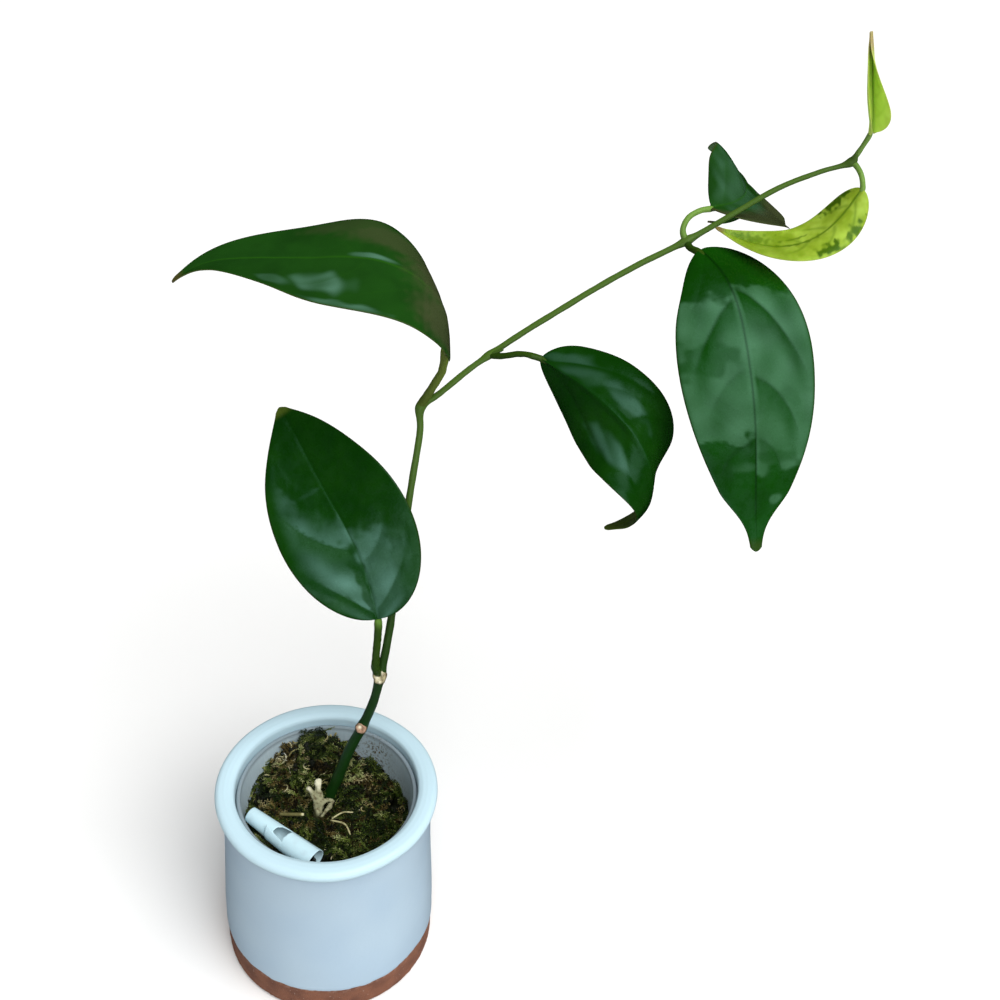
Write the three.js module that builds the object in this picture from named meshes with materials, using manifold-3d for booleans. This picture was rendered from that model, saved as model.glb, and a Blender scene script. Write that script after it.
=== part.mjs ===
// Potted hoya: a young climbing plant in a small glazed pot, in millimetres with +Z up.
// The origin is the middle of the pot's foot, on the surface that the pot stands on.
import * as THREE from 'three';
import { mergeVertices } from 'three/addons/utils/BufferGeometryUtils.js';
import Module from 'manifold-3d';

const wasm = await Module();
wasm.setup();

// Outer pot: glazed clay with a rolled lip
const POT_HEIGHT = 99.6;
const LIP_RADIUS = 47.7;
const LIP_ROUND = 2.8;
const LIP_UNDERSIDE = POT_HEIGHT - 2 * LIP_ROUND;
const MOUTH_RADIUS = 39.4;
const BODY_RADIUS = 46.9;
const FOOT_RADIUS = 47.2;
const FOOT_EDGE = 2.5;
const GLAZE_LINE = 15.5;
const GLAZE_THICKNESS = 0.3;
const POT_FLOOR = 6;
const POT_SEGMENTS = 40;

// Nursery pot: thin plastic, standing inside the outer pot
const CLEARANCE = 0.3;
const NURSERY_WALL = 0.8;
const NURSERY_FLOOR = 1.2;
const NURSERY_TOP = 94.6;
const NURSERY_WAIST = 50;
const NURSERY_RIM_DEPTH = 2.4;
const NURSERY_RIM_RADIUS = 38.9;
const NURSERY_TOP_RADIUS = 38;
const NURSERY_FOOT_RADIUS = 30;
const DRAIN_HOLES = 6;
const DRAIN_RADIUS = 3;
const DRAIN_CIRCLE = 19;

// Moss: a plug that fills the nursery pot, its top raised or sunk at some places
const MOSS_RINGS = 11;
const MOSS_SPOKES = 38;
const MOSS_LEVEL = 82;
const MOSS_EDGE_DROP = 1.5;
const MOSS_MOUNDS = [
  { x: -13, y: 27, height: 11, spread: 12 },
  { x: -3, y: 32, height: 5, spread: 4 },
  { x: 22, y: 26, height: -7, spread: 11 },
  { x: 34, y: 4, height: -3.5, spread: 12 },
  { x: -27, y: -14, height: 4.5, spread: 7 },
  { x: -3, y: -28, height: 2.5, spread: 6 },
];

// Stem: its foot is sunk in the moss
const STEM_SIDES = 8;
const STEM_STEPS = 84;

// Leaves
const GROWN_GRID = { rows: 18, columns: 4 };
const YOUNG_GRID = { rows: 14, columns: 3 };
const PETIOLE_SIDES = 8;
const PETIOLE_STEPS = 12;
const LEAST_HALF_WIDTH = 0.7;
const MIDRIB_STEPS = 200;
const CURL_STEPS = 12;

const GLAZE = 0xc3d7e6;
const NURSERY_PLASTIC = 0x9aa3aa;
const MOSS_GREEN = 0x55602a;
const STEM_GREEN = 0x2f5a1e;
const DARK_LEAF = 0x1c4a1c;
const BRIGHT_LEAF = 0x2c6430;
const LIME_LEAF = 0x9cc03a;
const DEAD_WOOD = 0xb8ab84;
const LABEL_WHITE = 0xe6f1f5;

const vector = (point) => new THREE.Vector3(...point);
const radians = (degrees) => degrees * Math.PI / 180;
const mix = (a, b, t) => a + (b - a) * t;
const bell = (distance, spread) => Math.exp(-0.5 * (distance / spread) ** 2);

/** A smooth value at s, from 0 to 1, through equally spaced stations. */
function through(stations, s) {
  const last = stations.length - 1;
  const x = Math.min(Math.max(s, 0), 1) * last;
  const i = Math.min(Math.floor(x), last - 1);
  const f = x - i;
  const before = stations[Math.max(i - 1, 0)];
  const start = stations[i];
  const end = stations[i + 1];
  const after = stations[Math.min(i + 2, last)];
  const slope = (end - before) * f;
  const bend = (2 * before - 5 * start + 4 * end - after) * f * f;
  const turn = (3 * start - before - 3 * end + after) * f * f * f;
  return 0.5 * (2 * start + slope + bend + turn);
}

/** A solid from a closed triangle list, turned so that its faces point out. */
function solidFrom(points, triangles) {
  let volume = 0;
  for (const [a, b, c] of triangles) {
    volume += points[a].dot(new THREE.Vector3().crossVectors(points[b], points[c]));
  }
  const facing = volume < 0 ? triangles.map(([a, b, c]) => [a, c, b]) : triangles;
  const mesh = new wasm.Mesh({
    numProp: 3,
    vertProperties: Float32Array.from(points.flatMap((p) => [p.x, p.y, p.z])),
    triVerts: Uint32Array.from(facing.flat()),
  });
  return new wasm.Manifold(mesh);
}

/** A solid from a closed three.js geometry. */
function solidFromGeometry(geometry) {
  const bare = geometry.clone();
  bare.deleteAttribute('normal');
  bare.deleteAttribute('uv');
  const merged = mergeVertices(bare, 1e-4);
  const position = merged.attributes.position;
  const points = [];
  for (let i = 0; i < position.count; i += 1) {
    points.push(new THREE.Vector3().fromBufferAttribute(position, i));
  }
  const index = merged.index.array;
  const triangles = [];
  for (let i = 0; i < index.length; i += 3) {
    const [a, b, c] = index.slice(i, i + 3);
    if (a !== b && b !== c && c !== a) triangles.push([a, b, c]);
  }
  return solidFrom(points, triangles);
}

/** A named mesh from a solid, with its material. */
function meshFromSolid(name, solid, color, roughness) {
  const { vertProperties, triVerts } = solid.getMesh();
  const geometry = new THREE.BufferGeometry();
  geometry.setAttribute('position', new THREE.BufferAttribute(vertProperties, 3));
  geometry.setIndex(new THREE.BufferAttribute(triVerts, 1));
  geometry.computeVertexNormals();
  const material = new THREE.MeshStandardMaterial({ color, roughness, metalness: 0 });
  const mesh = new THREE.Mesh(geometry, material);
  mesh.name = name;
  return mesh;
}

/** A round bar along a smooth route. radiusAt gives its radius at a share of its length. */
function roundBar(route, radiusAt, steps, sides) {
  const curve = new THREE.CatmullRomCurve3(route.map(vector), false, 'centripetal');
  curve.arcLengthDivisions = steps * 8;
  const { normals, binormals } = curve.computeFrenetFrames(steps, false);
  const points = [];
  const triangles = [];
  for (let i = 0; i <= steps; i += 1) {
    const share = i / steps;
    const centre = curve.getPointAt(share);
    const radius = radiusAt(share);
    for (let k = 0; k < sides; k += 1) {
      const angle = 2 * Math.PI * k / sides;
      points.push(centre.clone()
        .addScaledVector(normals[i], radius * Math.cos(angle))
        .addScaledVector(binormals[i], radius * Math.sin(angle)));
    }
  }
  for (let i = 0; i < steps; i += 1) {
    for (let k = 0; k < sides; k += 1) {
      const next = (k + 1) % sides;
      const a = i * sides + k;
      const b = i * sides + next;
      triangles.push([a, b, b + sides], [a, b + sides, a + sides]);
    }
  }
  for (let k = 1; k < sides - 1; k += 1) {
    const top = steps * sides;
    triangles.push([0, k + 1, k], [top, top + k, top + k + 1]);
  }
  return solidFrom(points, triangles);
}

/** Points round an arc of a profile, angles in degrees from +r towards +z. */
function arc(r, z, radius, from, to, steps) {
  return Array.from({ length: steps + 1 }, (_, i) => {
    const angle = radians(mix(from, to, i / steps));
    return [r + radius * Math.cos(angle), z + radius * Math.sin(angle)];
  });
}

/** A turned body round Z from a profile of radius and height pairs. */
function turned(profile, segments) {
  const points = profile.map(([r, z]) => new THREE.Vector2(r, z));
  return new THREE.LatheGeometry(points, segments).rotateX(Math.PI / 2);
}

/** The outer pot: foot, flaring body, rolled lip, straight inside and floor. */
function ceramicPot() {
  const outer = [
    ...arc(FOOT_RADIUS - FOOT_EDGE, FOOT_EDGE, FOOT_EDGE, -90, 0, 3),
    [FOOT_RADIUS, GLAZE_LINE - 0.3],
    [FOOT_RADIUS + GLAZE_THICKNESS, GLAZE_LINE],
    [BODY_RADIUS, 28],
    [46.2, 45],
    [45.3, 68],
    [45, 85],
    [45.2, LIP_UNDERSIDE],
  ];
  const lipMiddle = LIP_UNDERSIDE + LIP_ROUND;
  const lip = [
    ...arc(LIP_RADIUS - LIP_ROUND, lipMiddle, LIP_ROUND, -80, 90, 6),
    ...arc(MOUTH_RADIUS + LIP_ROUND, lipMiddle, LIP_ROUND, 90, 180, 4),
  ];
  const inner = [
    [MOUTH_RADIUS, 30],
    [MOUTH_RADIUS - 0.6, POT_FLOOR + 3],
    [MOUTH_RADIUS - 3, POT_FLOOR],
  ];
  return turned([[0, 0], ...outer, ...lip, ...inner, [0, POT_FLOOR]], POT_SEGMENTS);
}

/** Radius of the nursery pot's outer wall at a height. */
function nurseryRadius(z) {
  const foot = POT_FLOOR + CLEARANCE;
  return mix(NURSERY_FOOT_RADIUS, NURSERY_TOP_RADIUS, (z - foot) / (NURSERY_TOP - foot));
}

/** The nursery pot: a thin tapered cup with a small rim and drain holes in its floor. */
function nurseryPot() {
  const foot = POT_FLOOR + CLEARANCE;
  const floor = foot + NURSERY_FLOOR;
  const rimFoot = NURSERY_TOP - NURSERY_RIM_DEPTH;
  const profile = [
    [0, foot],
    [NURSERY_FOOT_RADIUS, foot],
    [nurseryRadius(NURSERY_WAIST), NURSERY_WAIST],
    [nurseryRadius(rimFoot), rimFoot],
    [NURSERY_RIM_RADIUS, rimFoot + 0.6],
    [NURSERY_RIM_RADIUS, NURSERY_TOP - 0.5],
    [NURSERY_TOP_RADIUS + 0.3, NURSERY_TOP],
    [NURSERY_TOP_RADIUS - NURSERY_WALL + 0.2, NURSERY_TOP - 0.4],
    [nurseryRadius(rimFoot) - NURSERY_WALL, rimFoot],
    [nurseryRadius(NURSERY_WAIST) - NURSERY_WALL, NURSERY_WAIST],
    [nurseryRadius(floor) - NURSERY_WALL, floor],
    [0, floor],
  ];
  let cup = solidFromGeometry(turned(profile, POT_SEGMENTS));
  for (let i = 0; i < DRAIN_HOLES; i += 1) {
    const angle = 2 * Math.PI * i / DRAIN_HOLES;
    const drill = new THREE.CylinderGeometry(DRAIN_RADIUS, DRAIN_RADIUS, 6, 8)
      .rotateX(Math.PI / 2)
      .translate(DRAIN_CIRCLE * Math.cos(angle), DRAIN_CIRCLE * Math.sin(angle), foot);
    cup = cup.subtract(solidFromGeometry(drill));
  }
  return cup;
}

/** Height of the moss at a place: its level, its mounds and hollows, and small lumps. */
function mossHeight(x, y) {
  const mounds = MOSS_MOUNDS.reduce(
    (sum, mound) => sum + mound.height * bell(Math.hypot(x - mound.x, y - mound.y), mound.spread),
    0,
  );
  const lumps = 1.1 * Math.sin(0.42 * x + 1.3) * Math.cos(0.47 * y - 0.4)
    + 0.7 * Math.sin(0.9 * x - 0.5 * y + 0.8);
  return MOSS_LEVEL + mounds + lumps;
}

/** The moss plug, before its holes are cut. */
function mossPlug() {
  const foot = POT_FLOOR + CLEARANCE + NURSERY_FLOOR + CLEARANCE;
  const inside = (z) => nurseryRadius(z) - NURSERY_WALL - CLEARANCE;
  const points = [new THREE.Vector3(0, 0, mossHeight(0, 0))];
  const triangles = [];
  for (let ring = 1; ring <= MOSS_RINGS; ring += 1) {
    for (let spoke = 0; spoke < MOSS_SPOKES; spoke += 1) {
      const angle = 2 * Math.PI * spoke / MOSS_SPOKES;
      let radius = inside(MOSS_LEVEL) * ring / MOSS_RINGS;
      let z = mossHeight(radius * Math.cos(angle), radius * Math.sin(angle));
      if (ring === MOSS_RINGS) {
        z -= MOSS_EDGE_DROP;
        radius = inside(Math.min(z, MOSS_LEVEL - 2));
      }
      points.push(new THREE.Vector3(radius * Math.cos(angle), radius * Math.sin(angle), z));
    }
  }
  for (let spoke = 0; spoke < MOSS_SPOKES; spoke += 1) {
    const angle = 2 * Math.PI * spoke / MOSS_SPOKES;
    const radius = inside(foot);
    points.push(new THREE.Vector3(radius * Math.cos(angle), radius * Math.sin(angle), foot));
  }
  const at = (ring, spoke) => 1 + (ring - 1) * MOSS_SPOKES + spoke % MOSS_SPOKES;
  const underside = points.length;
  points.push(new THREE.Vector3(0, 0, foot));
  for (let spoke = 0; spoke < MOSS_SPOKES; spoke += 1) {
    triangles.push([0, at(1, spoke), at(1, spoke + 1)]);
    for (let ring = 1; ring <= MOSS_RINGS; ring += 1) {
      const a = at(ring, spoke);
      const b = at(ring, spoke + 1);
      const c = at(ring + 1, spoke + 1);
      const d = at(ring + 1, spoke);
      triangles.push([a, d, c], [a, c, b]);
    }
    triangles.push([underside, at(MOSS_RINGS + 1, spoke + 1), at(MOSS_RINGS + 1, spoke)]);
  }
  return solidFrom(points, triangles);
}

// Main stem: its route from the foot in the moss to the growing tip
const STEM_ROUTE = [
  [-7, 4.5, 54], [-0.5, 7, 82.5], [4.5, 8, 98.5], [8.5, 9, 112],
  [14, 10, 126.5],
  [18.5, 11, 140.5],
  [21.5, 12, 156.5],
  [23, 14, 166.5], [24.5, 17, 178], [27.5, 25, 209], [30.5, 32.5, 239], [33, 39.5, 263],
  [33, 42, 272.5],
  [38.5, 43.5, 276.5], [50.5, 47, 287.5],
  [57.5, 49, 293],
  [68.5, 51.5, 301.5], [82.5, 54.5, 311.5], [96, 58, 320.5], [110, 61.5, 329],
  [126, 65.5, 337.5],
  [137.5, 68, 345], [157, 72, 358], [170.5, 73.5, 364.5],
  [181, 74, 369],
  [181.5, 72.2, 373.4],
];

// The nodes of the stem: where on the route, and how far the stem swells there
const STEM_NODES = [
  { at: [14, 10, 126.5], swell: 0.35, spread: 2.5 },
  { at: [21.5, 12, 156.5], swell: 0.7, spread: 3 },
  { at: [33, 42, 272.5], swell: 0.9, spread: 2.4 },
  { at: [57.5, 49, 293], swell: 0.4, spread: 2 },
  { at: [126, 65.5, 337.5], swell: 0.7, spread: 2 },
  { at: [181, 74, 369], swell: 0.75, spread: 1.8 },
];

// Stem radius at heights above the pot's foot
const STEM_RADII = [
  [54, 2.5], [82, 2.6], [126, 2.1], [157, 1.75], [200, 1.5], [265, 1.3], [290, 1.15],
  [337, 1.15], [350, 1.05], [369, 0.9], [374, 0.55],
];

// Healed scars where leaves were lost: on the stem's near side
const SCARS = [
  { at: [14, 10, 126.5], radius: 2.5, proud: 2.9 },
  { at: [21.5, 12, 156.5], radius: 2.9, proud: 3.2 },
];
const SCAR_FACING = [-0.05, -0.82, 0.57];

// Small buds that have not opened
const BUDS = [
  { from: [58.5, 48.7, 294], to: [62.8, 47.3, 296.8], radius: 0.9 },
];

/** Stem radius at a height, by straight runs between the listed heights. */
function stemRadius(z) {
  const above = STEM_RADII.findIndex(([height]) => height > z);
  if (above <= 0) return STEM_RADII[above === 0 ? 0 : STEM_RADII.length - 1][1];
  const [low, lowRadius] = STEM_RADII[above - 1];
  const [high, highRadius] = STEM_RADII[above];
  return mix(lowRadius, highRadius, (z - low) / (high - low));
}

/** The stem's bar, grown by a clearance all round. */
function stemBar(grown) {
  const curve = new THREE.CatmullRomCurve3(STEM_ROUTE.map(vector), false, 'centripetal');
  curve.arcLengthDivisions = STEM_STEPS * 8;
  const radiusAt = (share) => {
    const place = curve.getPointAt(share);
    const swell = STEM_NODES.reduce(
      (sum, node) => sum + node.swell * bell(place.distanceTo(vector(node.at)), node.spread),
      0,
    );
    return stemRadius(place.z) + swell + grown;
  };
  return roundBar(STEM_ROUTE, radiusAt, STEM_STEPS, STEM_SIDES);
}

/** The stem with its scars and bud, grown by a clearance all round. */
function mainStem(grown) {
  let stem = stemBar(grown);
  const facing = vector(SCAR_FACING).normalize();
  for (const scar of SCARS) {
    const foot = vector(scar.at);
    const end = foot.clone().addScaledVector(facing, scar.proud + grown);
    const disc = roundBar(
      [foot.toArray(), foot.clone().lerp(end, 0.5).toArray(), end.toArray()],
      (share) => scar.radius * (share > 0.8 ? 0.8 : 1) + grown,
      4,
      8,
    );
    stem = stem.add(disc);
  }
  for (const bud of BUDS) {
    const middle = vector(bud.from).lerp(vector(bud.to), 0.5).toArray();
    const bar = roundBar(
      [bud.from, middle, bud.to],
      (share) => bud.radius * (1 - 0.6 * share) + grown,
      4,
      6,
    );
    stem = stem.add(bar);
  }
  return stem;
}

// The leaves. A midrib leaves the base with a heading (degrees from +X towards +Y), a pitch
// (up from level) and a roll, each given at equally spaced stations from base to tip. Each half
// of the blade, left then right, is folded up from the midrib and curls further towards its edge.
// Its drip says how much narrower than its taper a blade gets just before its tip.
const LEAVES = {
  leaf_lower_left: {
    base: [20.6, 9.7, 190.5],
    length: 94,
    halfWidth: 27,
    heading: [127, 136, 140, 134, 133],
    pitch: [66, 58, 44, 41, 29],
    roll: [-30, -35, -42, -38, -37],
    fold: [[6, 7], [8, 8]],
    curl: [[2, 1], [4, 3]],
    widest: 0.43,
    taper: 0.96,
    tip: 0.07,
    drip: 0,
    thickness: 1.3,
    petiole: [
      [20.9, 11.5, 158], [19.8, 9.5, 163], [19.9, 9.6, 170], [20.4, 9.7, 178], [20.7, 9.8, 185],
    ],
    petioleRadius: [1.75, 1.4],
    grid: GROWN_GRID,
    color: DARK_LEAF,
  },
  leaf_upper_left: {
    base: [42.4, 40.4, 297.6],
    length: 127,
    halfWidth: 26,
    heading: [163, 173, 177, 170, 175, 185, 204],
    pitch: [97, 60, 19, -11, -7, -9, -35],
    roll: [35, 6, -12, -21, -17, -15, -4],
    fold: [[-10, 7], [-6, -8]],
    curl: [[-3, 36], [-29, 3]],
    widest: 0.35,
    taper: 1.13,
    tip: 0.07,
    drip: 0,
    thickness: 1.3,
    petiole: [[33, 42, 273], [35.5, 41.5, 278.5], [38.3, 41, 284.5], [40.5, 40.6, 290]],
    petioleRadius: [1.6, 1.5],
    grid: GROWN_GRID,
    color: DARK_LEAF,
  },
  leaf_middle: {
    base: [76.6, 41.7, 297.6],
    length: 99,
    halfWidth: 20.2,
    heading: [-34, -38, -36, -34, -34, -26, -20, 3],
    pitch: [-9, -6, -20, -32, -60, -88, -128, -164],
    roll: [59, 44, 38, 29, 7, -16, -8, -4],
    fold: [[-17, -6], [-31, -14]],
    curl: [[-18, 22], [-25, 2]],
    widest: 0.39,
    taper: 1.21,
    tip: 0.085,
    drip: 0,
    thickness: 1.3,
    petiole: [[57.7, 49, 293], [61.5, 47, 294.1], [69, 44, 297.6], [73.3, 42.5, 298.1]],
    petioleRadius: [1.2, 1.1],
    grid: GROWN_GRID,
    color: DARK_LEAF,
  },
  leaf_hanging: {
    base: [130.4, 58, 338.3],
    length: 115,
    halfWidth: 25.2,
    heading: [-44, -66, -69, -76, -78],
    pitch: [-13, -42, -57, -64, -56],
    roll: [-7, -3, 1, 4, 5],
    fold: [[9, -14], [-17, -2]],
    curl: [[-1, 14], [-27, -2]],
    widest: 0.4,
    taper: 1.05,
    tip: 0.06,
    drip: 0.45,
    thickness: 1.3,
    petiole: [[126, 65.5, 337.5], [127.1, 63.3, 336.5], [128.6, 60.5, 336.8]],
    petioleRadius: [1.3, 1.25],
    grid: GROWN_GRID,
    color: BRIGHT_LEAF,
  },
  leaf_behind: {
    base: [134.5, 75.5, 346.8],
    length: 83,
    halfWidth: 21.6,
    heading: [26, 56, 82, 81, 48, 8, -6],
    pitch: [-3, -4, -9, -20, -54, -138, -186],
    roll: [16, 26, 39, 26, 19, 14, 9],
    fold: [[29, 13], [13, -21]],
    curl: [[-26, -29], [17, -30]],
    widest: 0.31,
    taper: 1.22,
    tip: 0.1,
    drip: 0,
    thickness: 1.2,
    petiole: [
      [126, 65.5, 337.5], [124.6, 67, 340], [124.9, 69, 342.6], [126.7, 71, 344.7],
      [130.4, 73.5, 346],
    ],
    petioleRadius: [1.1, 1.05],
    grid: GROWN_GRID,
    color: DARK_LEAF,
  },
  young_leaf_curled: {
    base: [185.1, 67.5, 362],
    length: 60.5,
    halfWidth: 10.1,
    heading: [213, 211, 196, 176, 170, 173],
    pitch: [-57, -46, -27, -8, 10, 23],
    roll: [-20, -6, 0, 3, -3, -18],
    fold: [[-5, 21], [-12, 34]],
    curl: [[-51, -38], [-21, 28]],
    widest: 0.33,
    taper: 1.27,
    tip: 0.09,
    drip: 0,
    thickness: 0.9,
    petiole: [[181, 74, 369], [182.8, 72.4, 367.9], [184.3, 70.4, 366.1], [185, 68.8, 364.2]],
    petioleRadius: [1, 0.95],
    grid: YOUNG_GRID,
    color: LIME_LEAF,
  },
  youngest_leaf: {
    base: [185.4, 73.2, 380.7],
    length: 34,
    halfWidth: 7.9,
    heading: [158, 139, 123, 105],
    pitch: [82, 74, 72, 56],
    roll: [-48, -52, -61, -79],
    fold: [[38, 75], [39, 48]],
    curl: [[46, 58], [27, 33]],
    widest: 0.28,
    taper: 1.22,
    tip: 0.14,
    drip: 0,
    thickness: 0.8,
    petiole: [[181, 74, 369], [182.2, 74, 371.8], [183.4, 74, 374.8], [184.5, 73.7, 378]],
    petioleRadius: [0.95, 0.85],
    grid: YOUNG_GRID,
    color: LIME_LEAF,
  },
};

/** Half-width of a blade as a share of its greatest: round at the base, drawn out at the tip. */
function outline(leaf, s) {
  const rise = Math.sqrt(1 - (1 - Math.min(s / leaf.widest, 1)) ** 2);
  const past = Math.max((s - leaf.widest) / (1 - leaf.widest), 0);
  const width = s < leaf.widest ? rise : (1 - past * past) ** leaf.taper;
  const drawnIn = 1 - leaf.drip * THREE.MathUtils.smoothstep(past, 0.68, 0.93);
  const onset = THREE.MathUtils.smoothstep(past, 0.5, 0.8);
  return Math.hypot(width * drawnIn, leaf.tip * onset);
}

/** Directions at a share s of the midrib: along it, to its left, and up from its face. */
function leafFrame(leaf, s) {
  const heading = radians(through(leaf.heading, s));
  const pitch = radians(through(leaf.pitch, s));
  const roll = radians(through(leaf.roll, s));
  const along = new THREE.Vector3(
    Math.cos(pitch) * Math.cos(heading),
    Math.cos(pitch) * Math.sin(heading),
    Math.sin(pitch),
  );
  const level = new THREE.Vector3(-Math.sin(heading), Math.cos(heading), 0);
  const upright = new THREE.Vector3().crossVectors(along, level);
  const left = level.multiplyScalar(Math.cos(roll)).addScaledVector(upright, Math.sin(roll));
  const up = new THREE.Vector3().crossVectors(along, left);
  return { along, left, up };
}

/** A function that gives the midrib's place at a share s. */
function midribOf(leaf) {
  const places = [vector(leaf.base)];
  for (let i = 0; i < MIDRIB_STEPS; i += 1) {
    const { along } = leafFrame(leaf, (i + 0.5) / MIDRIB_STEPS);
    places.push(places[i].clone().addScaledVector(along, leaf.length / MIDRIB_STEPS));
  }
  return (s) => {
    const x = Math.min(Math.max(s, 0), 1) * MIDRIB_STEPS;
    const i = Math.min(Math.floor(x), MIDRIB_STEPS - 1);
    return places[i].clone().lerp(places[i + 1], x - i);
  };
}

/** Across and upward share of a half blade from the midrib out to q, from its fold and curl. */
function halfBlade(leaf, side, s, q) {
  const fold = radians(through(leaf.fold[side], s));
  const curl = radians(through(leaf.curl[side], s));
  let across = 0;
  let rise = 0;
  for (let i = 0; i < CURL_STEPS; i += 1) {
    const angle = fold + curl * q * (i + 0.5) / CURL_STEPS;
    across += Math.cos(angle) * q / CURL_STEPS;
    rise += Math.sin(angle) * q / CURL_STEPS;
  }
  return { across, rise };
}

/** The blade's middle surface as rows of points from base to tip, left edge to right edge. */
function bladeRows(leaf) {
  const midrib = midribOf(leaf);
  const { rows, columns } = leaf.grid;
  return Array.from({ length: rows + 1 }, (_, row) => {
    const even = row / rows;
    const s = mix(even, 0.5 - 0.5 * Math.cos(Math.PI * even), 0.6);
    const { left, up } = leafFrame(leaf, s);
    const half = Math.max(leaf.halfWidth * outline(leaf, s), LEAST_HALF_WIDTH);
    return Array.from({ length: 2 * columns + 1 }, (__, column) => {
      const offset = 1 - column / columns;
      const { across, rise } = halfBlade(leaf, offset < 0 ? 1 : 0, s, Math.abs(offset));
      return midrib(s)
        .addScaledVector(left, half * across * Math.sign(offset))
        .addScaledVector(up, half * rise);
    });
  });
}

/** A sheet of a given thickness about rows of points, split alike on both faces. */
function sheetSolid(rows, thicknessAt) {
  const rowCount = rows.length;
  const columnCount = rows[0].length;
  const upper = [];
  const lower = [];
  for (let i = 0; i < rowCount; i += 1) {
    for (let j = 0; j < columnCount; j += 1) {
      const along = rows[Math.min(i + 1, rowCount - 1)][j].clone()
        .sub(rows[Math.max(i - 1, 0)][j]);
      const across = rows[i][Math.max(j - 1, 0)].clone()
        .sub(rows[i][Math.min(j + 1, columnCount - 1)]);
      const normal = along.cross(across).normalize();
      const half = thicknessAt(i / (rowCount - 1), j / (columnCount - 1)) / 2;
      upper.push(rows[i][j].clone().addScaledVector(normal, half));
      lower.push(rows[i][j].clone().addScaledVector(normal, -half));
    }
  }
  const count = upper.length;
  const at = (i, j) => i * columnCount + j;
  const triangles = [];
  for (let i = 0; i < rowCount - 1; i += 1) {
    for (let j = 0; j < columnCount - 1; j += 1) {
      const a = at(i, j);
      const b = at(i + 1, j);
      const c = at(i + 1, j + 1);
      const d = at(i, j + 1);
      triangles.push([a, c, b], [a, d, c]);
      triangles.push([a + count, b + count, c + count], [a + count, c + count, d + count]);
    }
  }
  const rim = [];
  for (let i = 0; i < rowCount - 1; i += 1) rim.push(at(i, 0));
  for (let j = 0; j < columnCount - 1; j += 1) rim.push(at(rowCount - 1, j));
  for (let i = rowCount - 1; i > 0; i -= 1) rim.push(at(i, columnCount - 1));
  for (let j = columnCount - 1; j > 0; j -= 1) rim.push(at(0, j));
  rim.forEach((a, k) => {
    const b = rim[(k + 1) % rim.length];
    triangles.push([a, b, b + count], [a, b + count, a + count]);
  });
  return solidFrom([...upper, ...lower], triangles);
}

/** A leaf: its blade with its petiole, cut back to stand clear of the stem. */
function leafSolid(leaf, stemRoom) {
  const blade = sheetSolid(bladeRows(leaf), (s, t) => leaf.thickness * (1 - 0.3 * (2 * t - 1) ** 2));
  const midrib = midribOf(leaf);
  const [stemEnd, bladeEnd] = leaf.petioleRadius;
  const route = [...leaf.petiole, leaf.base, midrib(0.03).toArray(), midrib(0.06).toArray()];
  const petiole = roundBar(
    route,
    (share) => mix(stemEnd, bladeEnd, share) * (share > 0.85 ? 1 - 3 * (share - 0.85) : 1),
    PETIOLE_STEPS,
    PETIOLE_SIDES,
  );
  return blade.add(petiole).subtract(stemRoom);
}

// Dry root: a dead, pale, forked stub that stands in the moss beside the stem
const ROOT_BARS = [
  { route: [[-4.4, -7, 72], [-4.2, -6.5, 79], [-3.9, -5, 84.5], [-3.5, -1.6, 88.2], [-4.1, 1, 90.6]],
    radii: [1.9, 2.5] },
  { route: [[-4, 0, 89.8], [-4.5, 3.6, 93], [-5, 6.2, 95.6]], radii: [2.1, 1.65] },
  { route: [[-4.4, -0.8, 89], [-6.9, 1.2, 91.2], [-8.9, 2.6, 93.3]], radii: [1.9, 1.3] },
  { route: [[-3.5, -1.4, 88], [-0.9, -0.6, 89], [2.6, 0.2, 88.9]], radii: [2.1, 0.9] },
  { route: [[2.8, 0, 88.9], [0.9, -4.2, 88.5], [-1.5, -9, 88.4]], radii: [0.9, 0.95] },
];

/** The dry root, grown by a clearance all round. */
function dryRoot(grown) {
  return ROOT_BARS
    .map(({ route, radii: [start, end] }) => roundBar(
      route,
      (share) => mix(start, end, share) + grown,
      8,
      7,
    ))
    .reduce((whole, bar) => whole.add(bar));
}

// Plant label: a thin plastic strip, curled along its length, standing on its two long edges
const LABEL_START = [-31.8, -10.6, 88.6];
const LABEL_END = [-1, -30.6, 86];
const LABEL_RADII = [3.3, 5.2];
const LABEL_THICKNESS = 0.7;
const LABEL_ARC = [-30, 214];
const LABEL_ROWS = 8;
const LABEL_COLUMNS = 10;
const LABEL_ROOM_BEYOND = 0.4;
const LABEL_ROOM_ARC = 5;
const TEAR_AT = 0.5;
const TEAR_OUTLINE = [
  [2, -3.1], [-3, -2.4], [-3.3, -0.8], [-1.7, 2.1], [0.7, 3], [3.5, 3], [3, 0], [2.6, -3.1],
];
const TEAR_FLOOR = 1.5;
const TEAR_DEPTH = 9;

/** The label's rows, from its upper left end to its lower right end, reaching past by a margin. */
function labelRows(margin, marginArc) {
  const start = vector(LABEL_START);
  const end = vector(LABEL_END);
  const along = end.clone().sub(start).normalize();
  const inward = new THREE.Vector3(0, 0, 1).cross(along).normalize();
  const upward = new THREE.Vector3().crossVectors(along, inward);
  const reach = start.distanceTo(end);
  return Array.from({ length: LABEL_ROWS + 1 }, (_, row) => {
    const share = row / LABEL_ROWS;
    const radius = mix(LABEL_RADII[0], LABEL_RADII[1], share);
    const centre = start.clone().addScaledVector(along, mix(-margin, reach + margin, share));
    return Array.from({ length: LABEL_COLUMNS + 1 }, (__, column) => {
      const angle = radians(mix(
        LABEL_ARC[0] - marginArc,
        LABEL_ARC[1] + marginArc,
        column / LABEL_COLUMNS,
      ));
      return centre.clone()
        .addScaledVector(inward, radius * Math.cos(angle))
        .addScaledVector(upward, radius * Math.sin(angle));
    });
  });
}

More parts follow.
